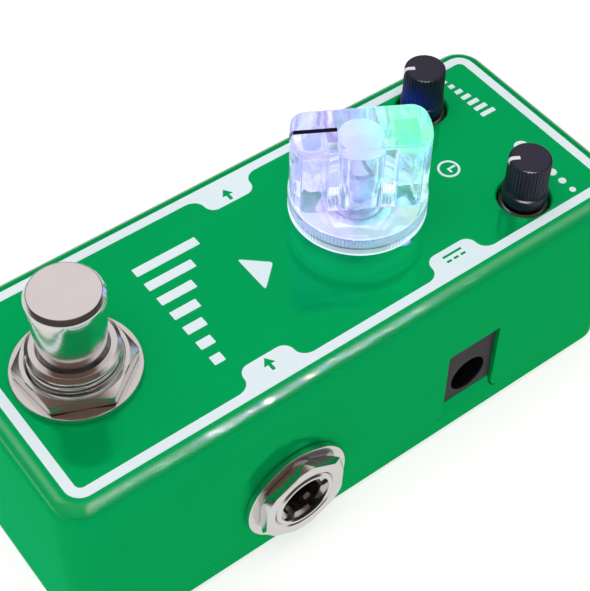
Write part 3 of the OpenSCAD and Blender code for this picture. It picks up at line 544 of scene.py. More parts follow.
class FootLook(bpy.types.PropertyGroup):
    pitch: length("Thread pitch", "Pitch of the bush's thread", 1.0)
    thread: length("Thread depth", "Depth of the bush's thread", 0.3)
    nut_turn: amount("Nut turn", "Angle of the nut", math.radians(6.0), "ROTATION")
    chrome: tint("Chrome", "Colour of the polished cap", (0.86, 0.83, 0.83))
    plate: tint("Plate", "Colour of the plated nuts and bushes", (0.78, 0.77, 0.76))


class SocketLook(bpy.types.PropertyGroup):
    pitch: length("Thread pitch", "Pitch of the bushes' thread", 0.5)
    thread: length("Thread depth", "Depth of the bushes' thread", 0.15)
    slots: number("Slots", "Slots in the ring inside the mouth", 6, 1)
    slot_width: length("Slot width", "Width of those slots", 1.2)
    slot_depth: length("Slot depth", "Depth of those slots", 1.4)
    nut_turn: amount("Nut turn", "Angle of the nuts", math.radians(28.0), "ROTATION")


# The glow and the four tints are the lamps' light, painted into the clear knob as emission.
class TimeLook(bpy.types.PropertyGroup):
    ribs: number("Ribs", "Fine ribs round the skirt", 120, 12)
    rib_depth: length("Rib depth", "Depth of those ribs", 0.1)
    ease: length("Edge ease", "Rounding of the bar's top edge", 0.45)
    glow: amount("Glow", "Strength of the lamps' light in the knob", 1.0)
    lilac: tint("Lilac", "Light at the pointer's end of the knob", (0.52, 0.48, 1.0))
    cyan: tint("Cyan", "Light in the middle of the knob", (0.25, 0.75, 1.0))
    green: tint("Green", "Light at the far end of the knob", (0.12, 1.0, 0.45))
    pink: tint("Pink", "Light in some facets of the far end", (1.0, 0.7, 0.95))


class SmallLook(bpy.types.PropertyGroup):
    flutes: number("Flutes", "Flutes round each small knob", 36, 8)
    flute_depth: length("Flute depth", "Depth of those flutes", 0.15)
    pointer: length("Pointer width", "Width of the white pointers", 0.6)
    black: tint("Black", "Colour of the knobs", (0.012, 0.012, 0.032))


class StageLook(bpy.types.PropertyGroup):
    lens: amount("Lens", "Focal length in millimetres", 90.54, "CAMERA")
    floor: tint("Floor", "Colour of the floor", (0.45, 0.45, 0.45))
    floor_glow: amount("Floor glow", "Light that the floor gives off itself", 0.7)


# Pieces

def paint_finish(look):
    """Glossy green paint with a faint orange peel, which mirrors its surroundings in green.
    A mask over the height gives the rounded top edge a clear coat instead."""
    def recipe(place):
        cloud = place.noise(60.0, 3.0)
        peel = place.noise(500.0, 1.0)
        high = place.axis(2) / MM
        rim = high.ease(TOP - 1.4, TOP - 1.0) * (1.0 - high.ease(TOP - 0.25, TOP - 0.05))
        return {
            "Base Color": cloud.mix(rgba(look.paint, 0.96), rgba(look.paint, 1.04)),
            "Metallic": look.mirror * (1.0 - rim),
            "Roughness": 0.08 + peel * 0.04,
            "Specular IOR Level": 0.0,
            "Specular Tint": rgba(look.gloss),
            "Coat Weight": 0.02 + rim * 0.98,
            "Coat IOR": 2.0,
            "Coat Roughness": 0.08,
            "Normal": (peel * (1.0 - rim)).bump(0.05, 0.03 * MM),
        }
    return surface("case_paint", recipe)


def plate_finish():
    """Plated steel of the nuts, washers and bushes."""
    plate = bpy.context.scene.pedal_foot.plate
    return grained("plated_steel", plate, 0.2, 1.0, contrast=0.08, grain=1500.0)


def plated(name, sheet, node, crease=CREASE):
    """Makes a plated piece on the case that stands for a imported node."""
    fit(solid(name, [sheet], crease), "case", plate_finish(), "plated_steel", node)


class PEDAL_OT_case(bpy.types.Operator):
    """Builds the case and the tray that closes it"""
    bl_idname = "pedal.case"
    bl_label = "Case and tray"

    def execute(self, context):
        look = context.scene.pedal_case
        self.box(look)
        self.tray(look)
        return {"FINISHED"}

    def box(self, look):
        """Open box: a profile with an arc for the top edge, swept round the plan, less its holes.
        Rows close to each bend keep the flats beside it shaded flat."""
        edge, corner, wall, bevel = look.edge / MM, look.corner / MM, look.wall / MM, look.seam_bevel / MM
        flare, gap = look.hole_bevel / MM, look.hole_gap / MM
        over_seam, under_edge, inside_edge = 0.3, 0.4, 0.5
        phi = np.linspace(0, np.pi / 2, 13)
        fillet = np.stack([edge * (1 - np.cos(phi)), TOP - edge + edge * np.sin(phi)], axis=1)
        outer = [(wall, SEAM), (bevel, SEAM), (0, SEAM + bevel), (0, SEAM + bevel + over_seam)]
        outer += [(0, TOP - edge - under_edge), *fillet, (edge + inside_edge, TOP), (HALF_W, TOP)]
        inner = [(HALF_W, TOP - wall), (wall, TOP - wall), (wall, SEAM)]
        made = solid("case_shell", [shell(HALF_W, HALF_L, corner, rows) for rows in (outer, inner)])

        def hole(radius, low, high):
            """Cutter for a hole with a bevel at its high end."""
            start, end = low - PAST, high + PAST
            return lathe([
                (0, start), (radius, start), (radius, high - flare), (radius + flare + PAST, end), (0, end)])

        bores = [
            ("footswitch_bush", FOOT_R + gap),
            ("time_pot_bush", POT_R + gap),
            ("level_knob", DIAL_HOLE_R),
            ("repeat_knob", DIAL_HOLE_R),
        ]
        cuts = [move(hole(radius, TOP - wall, TOP), on_plan(node)) for node, radius in bores]
        cuts += [move(hole(LAMP_R + gap, TOP - wall, TOP), spot) for spot in lamp_spots()]
        side = lay_x(hole(JACK_R + gap, HALF_W - wall, HALF_W))
        cuts += [move(side, on_side(name + "_jack_bush"), turn) for name, turn in JACKS]
        cuts.append(notch(look, 0.0, POWER_HIGH[2] + gap, HALF_W - wall - PAST, HALF_W + PAST))
        combine(made, cuts, "DIFFERENCE", FINE_CREASE)
        fit(made, "case", paint_finish(look), "case_paint", "enclosure")

    def tray(self, look):
        """Tray swept round the same plan, with a tongue that slopes back to the power socket's face
        and sinks for the screws."""
        corner, wall = look.corner / MM, look.wall / MM
        ease, thick = 0.2, 1.5
        head, shank, screw_inset = 2.79, 1.54, 4.6
        beside = 4.0
        floor = extent("base_screws")[0] + thick
        rise, face = extent("base_tray")[1], POWER_HIGH[0]
        rows = [(HALF_W, TRAY), (ease, TRAY), (0, TRAY + ease), (0, SEAM)]
        rows += [(wall, SEAM), (wall, floor), (HALF_W, floor)]
        made = solid("case_tray", [shell(HALF_W, HALF_L, corner, rows)])
        tongue = notch(look, look.tongue_gap / MM, rise, HALF_W - wall, HALF_W)
        combine(made, [tongue], "UNION", FINE_CREASE)

        low, high, out = TRAY - PAST, SEAM + PAST, HALF_W + PAST
        wedge = [(HALF_W, SEAM), (out, SEAM), (out, rise + PAST), (face, rise + PAST), (face, rise)]
        cuts = [lay_y(prism(wedge, POWER_LOW[1] - beside, POWER_HIGH[1] + beside))]
        sink = [(0, low), (head, low), (head, TRAY), (shank, TRAY + head - shank), (shank, high), (0, high)]
        x, y = HALF_W - screw_inset, HALF_L - screw_inset
        cuts += [move(lathe(sink), (sx * x, sy * y, 0)) for sx in (-1, 1) for sy in (-1, 1)]
        combine(made, cuts, "DIFFERENCE", FINE_CREASE)
        fit(made, "case", paint_finish(look), "case_paint", "base_tray")


def lamp_spots():
    """Axes of the two lamps, on a ring round the time knob's axis."""
    x, y = TIME[0] + LAMP_RING_R * np.cos(LAMPS), TIME[1] + LAMP_RING_R * np.sin(LAMPS)
    return np.stack([x, y, 0 * LAMPS], axis=1)


def notch(look, gap, high, x0, x1):
    """Prism along X whose outline has upright sides that flare out in arcs at the seam."""
    half, r = (POWER_HIGH[1] - POWER_LOW[1]) / 2 + look.hole_gap / MM, look.notch_radius / MM
    centre = middle("power_jack_body")[1]
    fan_rise = 0.3
    sweep = np.linspace(0, np.pi / 2, 9)
    y = half + r - (r + gap) * np.cos(sweep)
    z = SEAM + r - (r + gap) * np.sin(sweep)
    right = np.concatenate([[(half + r, SEAM - PAST)], np.stack([y, z], axis=1)[::-1], [(half - gap, high)]])
    outline = np.concatenate([right, right[::-1] * (-1, 1)]) + (centre, 0)
    return lay_x(prism(outline, x0, x1, (centre, SEAM + fan_rise)))


class PEDAL_OT_print(bpy.types.Operator):
    """Lays the pale print on the case top"""
    bl_idname = "pedal.print"
    bl_label = "Panel print"

    def execute(self, context):
        look = context.scene.pedal_print
        sunk, under = 0.02, 0.005
        wide, inset, end_inset, corner = look.width / MM, look.inset / MM, 0.07, 2.3
        power_shift = 1.0
        low, high = TOP - sunk, TOP + look.film / MM
        half_w, half_l = HALF_W - inset, HALF_L - inset - end_inset
        inner = half_w - wide
        tabs = [
            (1, middle("input_jack_bush")[1]),
            (-1, middle("output_jack_bush")[1]),
            (1, middle("power_jack_body")[1] - power_shift),
        ]
        border = [(0, low), (0, high), (wide, high), (wide, low)]
        left, right, foot, tip, tip_round = -3.05, 3.45, -7.1, (0.2, -3.5), 0.55
        wedge = soften([(left, foot), (right, foot), tip], tip_round, closed=True)
        sheets = [shell(half_w, half_l, corner, border, loop=True)]
        sheets += [self.tab(look, side, inner, y, low, high - under) for side, y in tabs]
        sheets += [prism(wedge, low, high), *self.labels(low, high)]
        ink = grained("panel_ink", look.ink, 0.35, contrast=0.03, grain=700.0)
        fit(solid("panel_print", sheets), "case", ink, "case_paint")
        marks = solid("panel_marks", self.marks(tabs, inner, low, high + sunk))
        fit(marks, "case", paint_finish(context.scene.pedal_case), "case_paint")
        return {"FINISHED"}

    def tab(self, look, side, inner, y, low, high):
        """Tube along X whose half width runs from the flare to the inner edge through two arcs."""
        reach, flat = look.tab_reach / MM, look.tab_half / MM
        r, flare = look.tab_round / MM, look.tab_flare / MM
        lap = 0.7
        turn = np.linspace(0, np.pi / 2, 9)
        narrow = flare - (flare - flat - r) * np.sin(turn)
        depth = np.concatenate([[-lap], (reach - r) * (1 - np.cos(turn)), reach - r + r * np.sin(turn[1:])])
        half = np.concatenate([[flare], narrow, flat + r * np.cos(turn[1:])])
        x = side * (inner - depth)
        ring = np.array([(-1, 0), (1, 0), (1, 1), (-1, 1)])[::side]
        rings = np.stack([
            np.broadcast_to(x[:, None], (len(x), 4)),
            y - half[:, None] * ring[None, :, 0],
            np.broadcast_to(low + (high - low) * ring[None, :, 1], (len(x), 4)),
        ], axis=-1)
        return tube(rings)

    def labels(self, low, high):
        """Plain marks in place of words: rising bars, a clock face, shrinking dots and falling bars."""
        ease = 0.12

        def bar(x, y, wide, tall):
            plan = corners(x - wide / 2, x + wide / 2, y, y + tall)
            return prism(soften(plan, ease, closed=True), low, high)

        return [*self.rising(bar), *self.clock(bar, low, high), *self.dots(low, high), *self.falling(bar)]

    def rising(self, bar):
        """Bars by the level knob that grow along X."""
        count, x, y, pitch, wide = 7, -13.4, 37.8, 1.45, 0.8
        shortest, growth = 0.6, 0.32
        return [bar(x + pitch * i, y, wide, shortest + growth * i) for i in range(count)]

    def clock(self, bar, low, high):
        """Clock face behind the time knob: a ring, a hand along Y and a hand along X."""
        x, y, radius, line = 0.8, 26.8, 1.65, 0.35
        hand_y, hand_y_start, hand_x, hand_x_middle, hand_x_drop = 1.0, 0.15, 0.95, 0.3, 0.25
        ring = lathe(corners(radius - line, radius, low, high), loop=True)
        upright = bar(x, y + hand_y_start, line, hand_y)
        level = bar(x + hand_x_middle, y - hand_x_drop, hand_x, line)
        return [move(ring, (x, y, 0)), upright, level]

    def dots(self, low, high):
        """Dots by the repeat knob that shrink along X."""
        count, x, y, pitch = 6, 3.6, 38.2, 2.1
        largest, share = 1.15, 0.84
        radii = largest * share ** np.arange(count)
        made = [lathe(corners(0, radius, low, high)) for radius in radii]
        return [move(dot, (x + pitch * i, y, 0)) for i, dot in enumerate(made)]

    def falling(self, bar):
        """Bars between the footswitch and the time knob that shrink along X."""
        count, x, y, pitch, wide = 7, -9.0, -19.5, 3.0, 1.5
        longest, share = 10.0, 0.74
        return [bar(x + pitch * i, y, wide, longest * share ** i) for i in range(count)]

    def marks(self, tabs, inner, low, high):
        """Green marks on the tabs: an arrow in, an arrow out and the sign for direct current."""
        depth = 1.7
        reach, neck, head_half, stem_half = 1.1, 0.1, 0.85, 0.25
        half, row, line, dash, dash_pitch = 0.175, 0.45, 3.2, 0.8, 1.2
        outlines = []
        for side, y in tabs[:2]:
            x = side * (inner - depth)
            outlines.append([(x - reach, y), (x + neck, y - head_half), (x + neck, y + head_half)])
            outlines.append(corners(x + neck, x + reach, y - stem_half, y + stem_half))
        side, y = tabs[2]
        x = side * (inner - depth)
        bars = [(x - row, y, line)] + [(x + row, y + dash_pitch * k, dash) for k in (-1, 0, 1)]
        for bar_x, bar_y, tall in bars:
            outlines.append(corners(bar_x - half, bar_x + half, bar_y - tall / 2, bar_y + tall / 2))
        return [prism(outline, low, high) for outline in outlines]


class PEDAL_OT_footswitch(bpy.types.Operator):
    """Builds the footswitch's cap, bush, nut, washer and spring"""
    bl_idname = "pedal.footswitch"
    bl_label = "Footswitch"

    def execute(self, context):
        look = context.scene.pedal_foot
        across, ring_r = 14.0, 8.45
        spot = on_plan("footswitch_bush")
        low, high = extent("footswitch_bush")
        nut_low, nut_high = extent("footswitch_nut")
        self.cap(look, spot, high)
        plated("foot_bush", move(self.bush(look, low, high), spot), "footswitch_bush")
        nut = hex_nut(across, FOOT_R + NUT_ROOM, nut_high - nut_low, look.nut_turn)
        plated("foot_nut", move(nut, (*FOOT[:2], nut_low)), "footswitch_nut", NUT_CREASE)
        ring = washer(ring_r, FOOT_R + WASHER_ROOM, TOP, nut_low)
        plated("foot_washer", move(ring, spot), "footswitch_washer", FINE_CREASE)
        self.spring(spot)
        return {"FINISHED"}

    def cap(self, look, spot, rim):
        """Polished cap: from the bush's rim it swells along a parabola to the head, which a bevel ends.
        Inside is the bore that takes the plunger."""
        low, high = extent("footswitch_cap")
        head, neck, skirt, bore, roof = 5.0, 4.28, 4.2, 3.02, rim + 7.1
        bow, swell_end, head_low, lip, skirt_end = 0.3, high - 1.5, high - 1.4, 0.2, rim - 0.6
        bevel_in, bevel_down, ease = 0.5, 0.75, 0.16
        t = np.linspace(0, 1, 17)
        swell = neck + (head - neck) * ((1 + bow) * t - bow * t ** 2)
        side = np.stack([swell, rim + (swell_end - rim) * t], axis=1)
        top = [(head, head_low), (head, high - bevel_down), (head - bevel_in, high), (0, high)]
        inside = [(0, roof), (bore, roof), (bore, low)]
        inside += [(skirt - lip, low), (skirt, low + lip), (skirt, skirt_end)]
        rows = np.concatenate([inside, side, soften(top, ease, steps=5)])
        made = solid("foot_cap", [move(lathe(rows, around(128)), spot)], CAP_CREASE)
        chrome = turned_metal("polished_metal", look.chrome, 0.15, FOOT)
        fit(made, "footswitch", chrome, "polished_metal", "footswitch_cap")

    def bush(self, look, low, high):
        """Threaded sleeve: a flange at its foot, a bore for the plunger and a wider mouth for the cap."""
        pitch = look.pitch / MM
        bore, mouth, flange, end, lip = 3.05, 4.55, 7.8, 5.45, 0.15
        step, thread_low, shelf = low + 1.0, low + 1.2, high - 4.5
        rows = [(bore, low), (flange, low), (flange, step), (FOOT_R, step)]
        rows += wall_rows(FOOT_R, thread_low, high - 0.4, pitch)
        rows += [(end, high), (mouth + lip, high), (mouth, high - lip), (mouth, shelf), (bore, shelf)]
        groove = threaded(FOOT_R, thread_low, high, pitch, look.thread / MM)
        return lathe(braced(np.array(rows)), bend=groove, loop=True)

    def spring(self, spot):
        """Coil of round wire, made as it stands at rest.
        The turns run along the coil, and the wire's ring across it."""
        low, high = span("footswitch_spring")
        wire, turns, travel = 0.35, 5, 1.85
        reach = (high[0] - low[0]) / 2 - wire
        a = np.linspace(0, turns * FULL, 241)[:, None]
        b = around(10)[None]
        r = reach + wire * np.cos(b)
        z = low[2] + wire + (high[2] - low[2] - 2 * wire) * a / (turns * FULL) + wire * np.sin(b)
        rings = np.stack([r * np.cos(a), r * np.sin(a), z], axis=-1)
        made = solid("foot_spring", [move(tube(rings), spot)])
        steel = grained("spring_steel", (0.6, 0.6, 0.6), 0.3, 1.0)
        fit(made, "case", steel, "spring_steel", "footswitch_spring")
        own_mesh(made)


class PEDAL_OT_sockets(bpy.types.Operator):
    """Builds the threaded bushes, nuts and washers of both signal sockets"""
    bl_idname = "pedal.sockets"
    bl_label = "Signal sockets"

    def execute(self, context):
        look = context.scene.pedal_socket
        across, ring_r = 12.7, 8.1
        low, high = extent("input_jack_nut", 0)
        nut = hex_nut(across, JACK_R + NUT_ROOM, high - low, look.nut_turn, slope=1.3, crown=0.3, back=0.9)
        parts = {
            "bush": (self.bush(look), CREASE),
            "nut": (move(nut, (0, 0, low)), NUT_CREASE),
            "washer": (washer(ring_r, JACK_R + WASHER_ROOM, HALF_W, low, 0.2), FINE_CREASE),
        }
        for side, turn in JACKS:
            spot = on_side(side + "_jack_bush")
            for part, (sheet, crease) in parts.items():
                plated(side + "_" + part, move(lay_x(sheet), spot, turn), side + "_jack_" + part, crease)
        return {"FINISHED"}

    def bush(self, look):
        """Threaded sleeve with a flange at its back and a step inside its mouth.
        The step sinks by the slots' depth where the angle is near the middle of a slot."""
        back, face = extent("input_jack_bush", 0)
        pitch = look.pitch / MM
        bore, mouth, flange, end, lip = 3.25, 3.95, 6.0, 4.4, 0.1
        shoulder, thread_end, step = back + 1.5, face - 0.3, face - 0.9
        rows = [(bore, back), (flange, back), (flange, shoulder), (JACK_R, shoulder)]
        rows += wall_rows(JACK_R, HALF_W, thread_end, pitch)
        rows += [(end, face), (mouth + lip, face), (mouth, face - lip), (mouth, step), (bore, step)]
        first = len(rows) - 2
        groove = threaded(JACK_R, HALF_W, thread_end, pitch, look.thread / MM)
        half, fade = look.slot_width / MM / (bore + mouth), 0.03

        def bend(r, z, theta):
            r, z = groove(r, z, theta)
            z = z.copy()
            away = np.abs((theta * look.slots + np.pi) % FULL - np.pi) / look.slots
            z[first:] -= look.slot_depth / MM * (1 - np.clip((away[first:] - half) / fade + 0.5, 0, 1))
            return r, z

        return lathe(rows, around(240), bend, loop=True)


class PEDAL_OT_time_knob(bpy.types.Operator):
    """Builds the clear knob with its pointer, shaft, nut, washer and lamps"""
    bl_idname = "pedal.time_knob"
    bl_label = "Time knob"

    def execute(self, context):
        look = context.scene.pedal_time
        low, high = extent("time_knob")
        self.knob(look, low, high - low)
        self.pointer(look, low, high - low)
        self.rod()
        self.fastening()
        self.lamps()
        return {"FINISHED"}

    def knob(self, look, low, tall):
        """Clear knob: a ribbed skirt joined to a bar with a rounded top edge.
        A recess, a bore and two pockets are cut into it from below."""
        ease, roof = look.ease / MM, tall - ROOF_THICK
        bar_foot = 1.5

        def ribs(r, z, theta):
            band = np.clip(np.minimum(z - 0.35, SKIRT - 0.25 - z) / 0.15, 0, 1) * (r > SKIRT_R - 0.1)
            return r - look.rib_depth / MM * band * (0.5 - 0.5 * np.cos(theta * look.ribs)), z

        wall = [(SKIRT_R, z) for z in (0.25, 0.45, 0.7, SKIRT - 0.6, SKIRT - 0.35, SKIRT - 0.2)]
        rim = [(0, 0), (SKIRT_R - 0.25, 0), *wall, (SKIRT_R - 0.2, SKIRT), (0, SKIRT)]
        made = solid("clear_knob", [lathe(rim, around(look.ribs * 6), ribs)])
        phi = np.linspace(0, np.pi / 2, 6)
        insets = np.concatenate([[0.0], ease * (1 - np.cos(phi))])
        rise = np.concatenate([[bar_foot], tall - ease + ease * np.sin(phi)])
        loops = np.stack([self.plan(BAR_LONG - 2 * d, BAR_WIDE - 2 * d, BAR_END_R - d) for d in insets])
        heights = np.broadcast_to(rise[:, None, None], loops.shape[:2] + (1,))
        bar = tube(np.concatenate([loops, heights], axis=-1))
        combine(made, [move(bar, (0, 0, 0), POINTER)], "UNION")
        cuts = [lathe(corners(0, RECESS_R, -PAST, RECESS)), lathe(corners(0, HUB_R, -0.5, roof))]
        for side in (-1, 1):
            left, right = sorted((POCKET_NEAR * side, POCKET_FAR * side))
            pocket = soften(corners(left, right, -POCKET_HALF, POCKET_HALF), 0.3, closed=True)
            cuts.append(move(prism(pocket, -0.6, roof), (0, 0, 0), POINTER))
        combine(made, cuts, "DIFFERENCE")
        made.data.transform(Matrix.Translation(Vector((TIME[0], TIME[1], low)) * MM))
        fit(made, "time_control", self.clear(look, low, tall, roof), "clear_plastic", "time_knob")

    def plan(self, long, wide, end):
        """Plan of the bar: two flats whose corners run into arcs about the knob's axis."""
        y = wide / 2 - end
        x = math.sqrt((long / 2 - end) ** 2 - y ** 2)
        swing = math.atan2(y, x)
        tip = arc((0, 0), long / 2, -swing, swing)
        right = arc((x, y), end, swing, np.pi / 2)[1:]
        left = arc((-x, y), end, np.pi / 2, np.pi - swing)
        half = np.concatenate([tip, right, left])
        return np.concatenate([half, -half[1:]])

    def pointer(self, look, low, tall):
        """Black line that runs out along the bar's top and down over its end."""
        ease, top, end = look.ease / MM, tall + 0.01, BAR_LONG / 2
        path = [(3.2, top), (end - ease, top), (end + 0.02, tall - ease), (end + 0.02, tall - ease - 0.5)]
        black = grained("pointer_black", (0.004, 0.004, 0.006), 0.5, contrast=0.2, grain=800.0, specular=0.1)
        line = move(strip(soften(path, 0.1), 0.65, 0.04), (TIME[0], TIME[1], low), POINTER)
        fit(solid("time_pointer", [line]), "time_control", black, "clear_plastic")

    def rod(self):
        """Metal shaft with a bevelled end and a slot across it."""
        low, high = extent("time_shaft")
        radius, bevel, slot_half, slot_deep = 3.0, 0.3, 0.4, 1.6
        across = radius + PAST
        rows = [(0, low), (radius, low), (radius, high - bevel), (radius - bevel, high), (0, high)]
        made = solid("time_rod", [lathe(rows)])
        slot = prism(corners(-across, across, -slot_half, slot_half), high - slot_deep, high + PAST)
        combine(made, [slot], "DIFFERENCE")
        made.data.transform(Matrix.Translation((TIME[0] * MM, TIME[1] * MM, 0)))
        metal = grained("shaft_metal", (0.75, 0.74, 0.72), 0.25, 1.0)
        fit(made, "time_control", metal, "shaft_metal", "time_shaft")

    def fastening(self):
        """Nut, washer and bush that hold the knob's potentiometer. The nut turns a flat to each lamp."""
        across, ring_r, bore = 10.0, 5.3, 3.05
        spot = on_plan("time_shaft")
        nut_low, nut_high = extent("time_pot_nut")
        nut = hex_nut(across, POT_R + NUT_ROOM, nut_high - nut_low, LAMPS.mean())
        plated("time_nut", move(nut, (TIME[0], TIME[1], nut_low)), "time_pot_nut", NUT_CREASE)
        ring = washer(ring_r, POT_R + WASHER_ROOM, TOP, nut_low, 0.1)
        plated("time_washer", move(ring, spot), "time_pot_washer", FINE_CREASE)
        bush = sleeve(bore, *extent("time_pot_bush"), rim=3.15)
        plated("time_bush", move(bush, spot), "time_pot_bush")

    def lamps(self):
        """Two round lamps under the knob: a domed lens on a rim, and two legs."""
        low, high = extent("time_lights")
        rim, leg_r, leg_out = 1.8, 0.25, 1.27
        base = TOP - 2.8
        step = base + 0.8
        dome = arc((0, high - LAMP_R), LAMP_R, 0, np.pi / 2)
        foot = [(0, base), (rim, base), (rim, step), (LAMP_R, step)]
        lens = lathe(np.concatenate([foot, dome]), around(32))
        leg = lathe(corners(0, leg_r, low, base), around(12))
        sheets = []
        for place, turn in zip(lamp_spots(), LAMPS):
            across = np.array([-math.sin(turn), math.cos(turn), 0]) * leg_out
            sheets += [move(lens, place), move(leg, place + across), move(leg, place - across)]
        fit(solid("time_lamps", sheets), "case", self.lamp(), "lamp_plastic", "time_lights")

    def clear(self, look, low, tall, roof):
        """Clear plastic with a painted glow: emission stands in for the lamps' light from below,
        lilac at the pointer's end, green at the other and white at the foot.
        Masks over the bar's own axes pick out the hub's frosted roof, the pockets and the recess."""
        def recipe(place):
            x, y = place.axis(0) / MM - TIME[0], place.axis(1) / MM - TIME[1]
            z = place.axis(2) / MM - low
            along = x * math.cos(POINTER) + y * math.sin(POINTER)
            across = y * math.cos(POINTER) - x * math.sin(POINTER)
            end = along * -1.0
            far, side, radius = along.to("ABSOLUTE"), across.to("ABSOLUTE"), (x * x + y * y).to("SQRT")

            hub = 1.0 - radius.ease(HUB_R - 0.07, HUB_R + 0.23)
            pocket = far.ease(POCKET_NEAR - 0.3, POCKET_NEAR) * (1.0 - far.ease(POCKET_FAR, POCKET_FAR + 0.3))
            pocket = pocket * (1.0 - side.ease(POCKET_HALF - 0.05, POCKET_HALF + 0.2))
            level = z.ease(roof - 0.2, roof - 0.05) * (1.0 - z.ease(roof + 0.05, roof + 0.2))
            top = z.ease(tall - 0.5, tall - 0.1)
            outside = radius.ease(RECESS_R - 0.05, RECESS_R + 0.15)
            foot = (1.0 - z.ease(RECESS, RECESS + 0.3)) * outside
            floor = z.ease(RECESS - 0.25, RECESS - 0.05) * (1.0 - z.ease(RECESS + 0.05, RECESS + 0.3))
            floor = floor * (1.0 - outside)
            ring = floor * radius.ease(4.8, 6.2)
            band = radius.ease(SKIRT_R - 0.4, SKIRT_R - 0.2) * (1.0 - z.ease(SKIRT - 0.3, SKIRT))
            painted_veil_glow = (1.0 - z.ease(2.0, 8.0)) * along.ease(3.5, 5.0) * (1.0 - floor)
            cells = {"Vector": place, "Scale": 420.0}
            facets = place.node("ShaderNodeTexVoronoi", {"distance": "CHEBYCHEV"}, cells, 1)
            painted_facet_glow, shift = facets.axis(0) * (1.0 - top), facets.axis(1) - 0.5

            # Painted light: the lamps' colours in the plastic, lilac to cyan along the bar, pink in some
            # facets, green at the far end.
            tone = end + shift * end.ease(-3.0, 3.0) * 9.0
            light = tone.ease(-4.0, 3.0).mix(rgba(look.lilac), rgba(look.cyan))
            light = (shift.ease(0.15, 0.25) * end.ease(0.0, 4.0) * (1.0 - top)).mix(light, rgba(look.pink))
            greener = top * end.ease(0.0, 5.0) * 0.9 + (1.0 - top) * tone.ease(7.0, 11.0) * 0.6
            light = greener.mix(light, rgba(look.green))
            # Strengths of the painted glow: white on the foot, the recess ring and the hub's roof, faint in
            # the walls and facets, brighter on the top.
            pale = (hub * level * 0.6 + foot + ring * 0.7).ease(0.0, 1.0)
            wall = 0.09 - end.ease(1.0, 5.0) * 0.05 + painted_facet_glow * (0.14 + end.ease(0.0, 4.0) * 0.04) + painted_veil_glow * 0.12
            power = wall * (1.0 - band) + top * (0.13 + end.ease(1.0, 6.0) * 0.22)
            power = power + foot * 0.4 + ring * 0.55 + level * (hub * 0.22 + pocket * 0.12)

            # Base colours tinted like the painted light, and darker on the foot, the recess ring and the rib
            # band.
            near_end, far_end = (0.74, 0.74, 0.95, 1.0), (0.66, 0.88, 0.94, 1.0)
            far_top, ground = (0.25, 0.9, 0.45, 1.0), (0.17, 0.27, 0.33, 1.0)
            black, white = (0.0, 0.0, 0.0, 1.0), (0.92, 0.94, 1.0, 1.0)
            clear = end.ease(-3.0, 6.0).mix(near_end, far_end)
            clear = (top * end.ease(1.0, 5.0)).mix(clear, far_top)
            return {
                "Base Color": (ring + band + foot).ease(0.0, 1.0).mix(clear, ground),
                "Roughness": 0.02 + hub * level * 0.5 + ring * 0.12,
                "Transmission Weight": 0.92,
                "IOR": 1.49,
                "Emission Color": power.mix(black, pale.mix(light, white)),
                "Emission Strength": look.glow,
            }
        return surface("clear_plastic", recipe)

    def lamp(self):
        """Frosted lens that gives off bluish white light."""
        def recipe(place):
            high = (place.axis(2) - TOP * MM).ease(-1.0 * MM, 1.5 * MM)
            return {
                "Base Color": (0.9, 0.92, 1.0, 1.0),
                "Roughness": 0.3 + place.noise(600.0) * 0.1,
                "Emission Color": high.mix((0.1, 0.15, 0.9, 1.0), (0.4, 0.5, 1.0, 1.0)),
                "Emission Strength": 0.8,
            }
        return surface("lamp_plastic", recipe)


def strip(path, width, thick):
    """Thin closed strip that follows a path of radius and height, as wide as stated across it."""
    path = np.asarray(path, float)
    ahead = np.gradient(path, axis=0)
    ahead /= np.linalg.norm(ahead, axis=1, keepdims=True)
    out = np.stack([-ahead[:, 1], ahead[:, 0]], axis=1) * thick
    rows = np.stack([path - out, path - out, path + out, path + out], axis=1)
    across = np.broadcast_to(np.array([-0.5, 0.5, 0.5, -0.5]) * width, rows.shape[:2])
    return tube(np.stack([rows[..., 0], across, rows[..., 1]], axis=-1))


def sleeve(bore, low, high, rim, lip=0.0):
    """Closed sleeve of a potentiometer's bush: a bevel takes its end in to the rim, a lip widens its bore."""
    bevel = 0.4
    rows = [(bore, low), (POT_R, low), (POT_R, high - bevel), (rim, high), (bore + lip, high)]
    if lip:
        rows.append((bore, high - lip))
    return lathe(rows, loop=True)


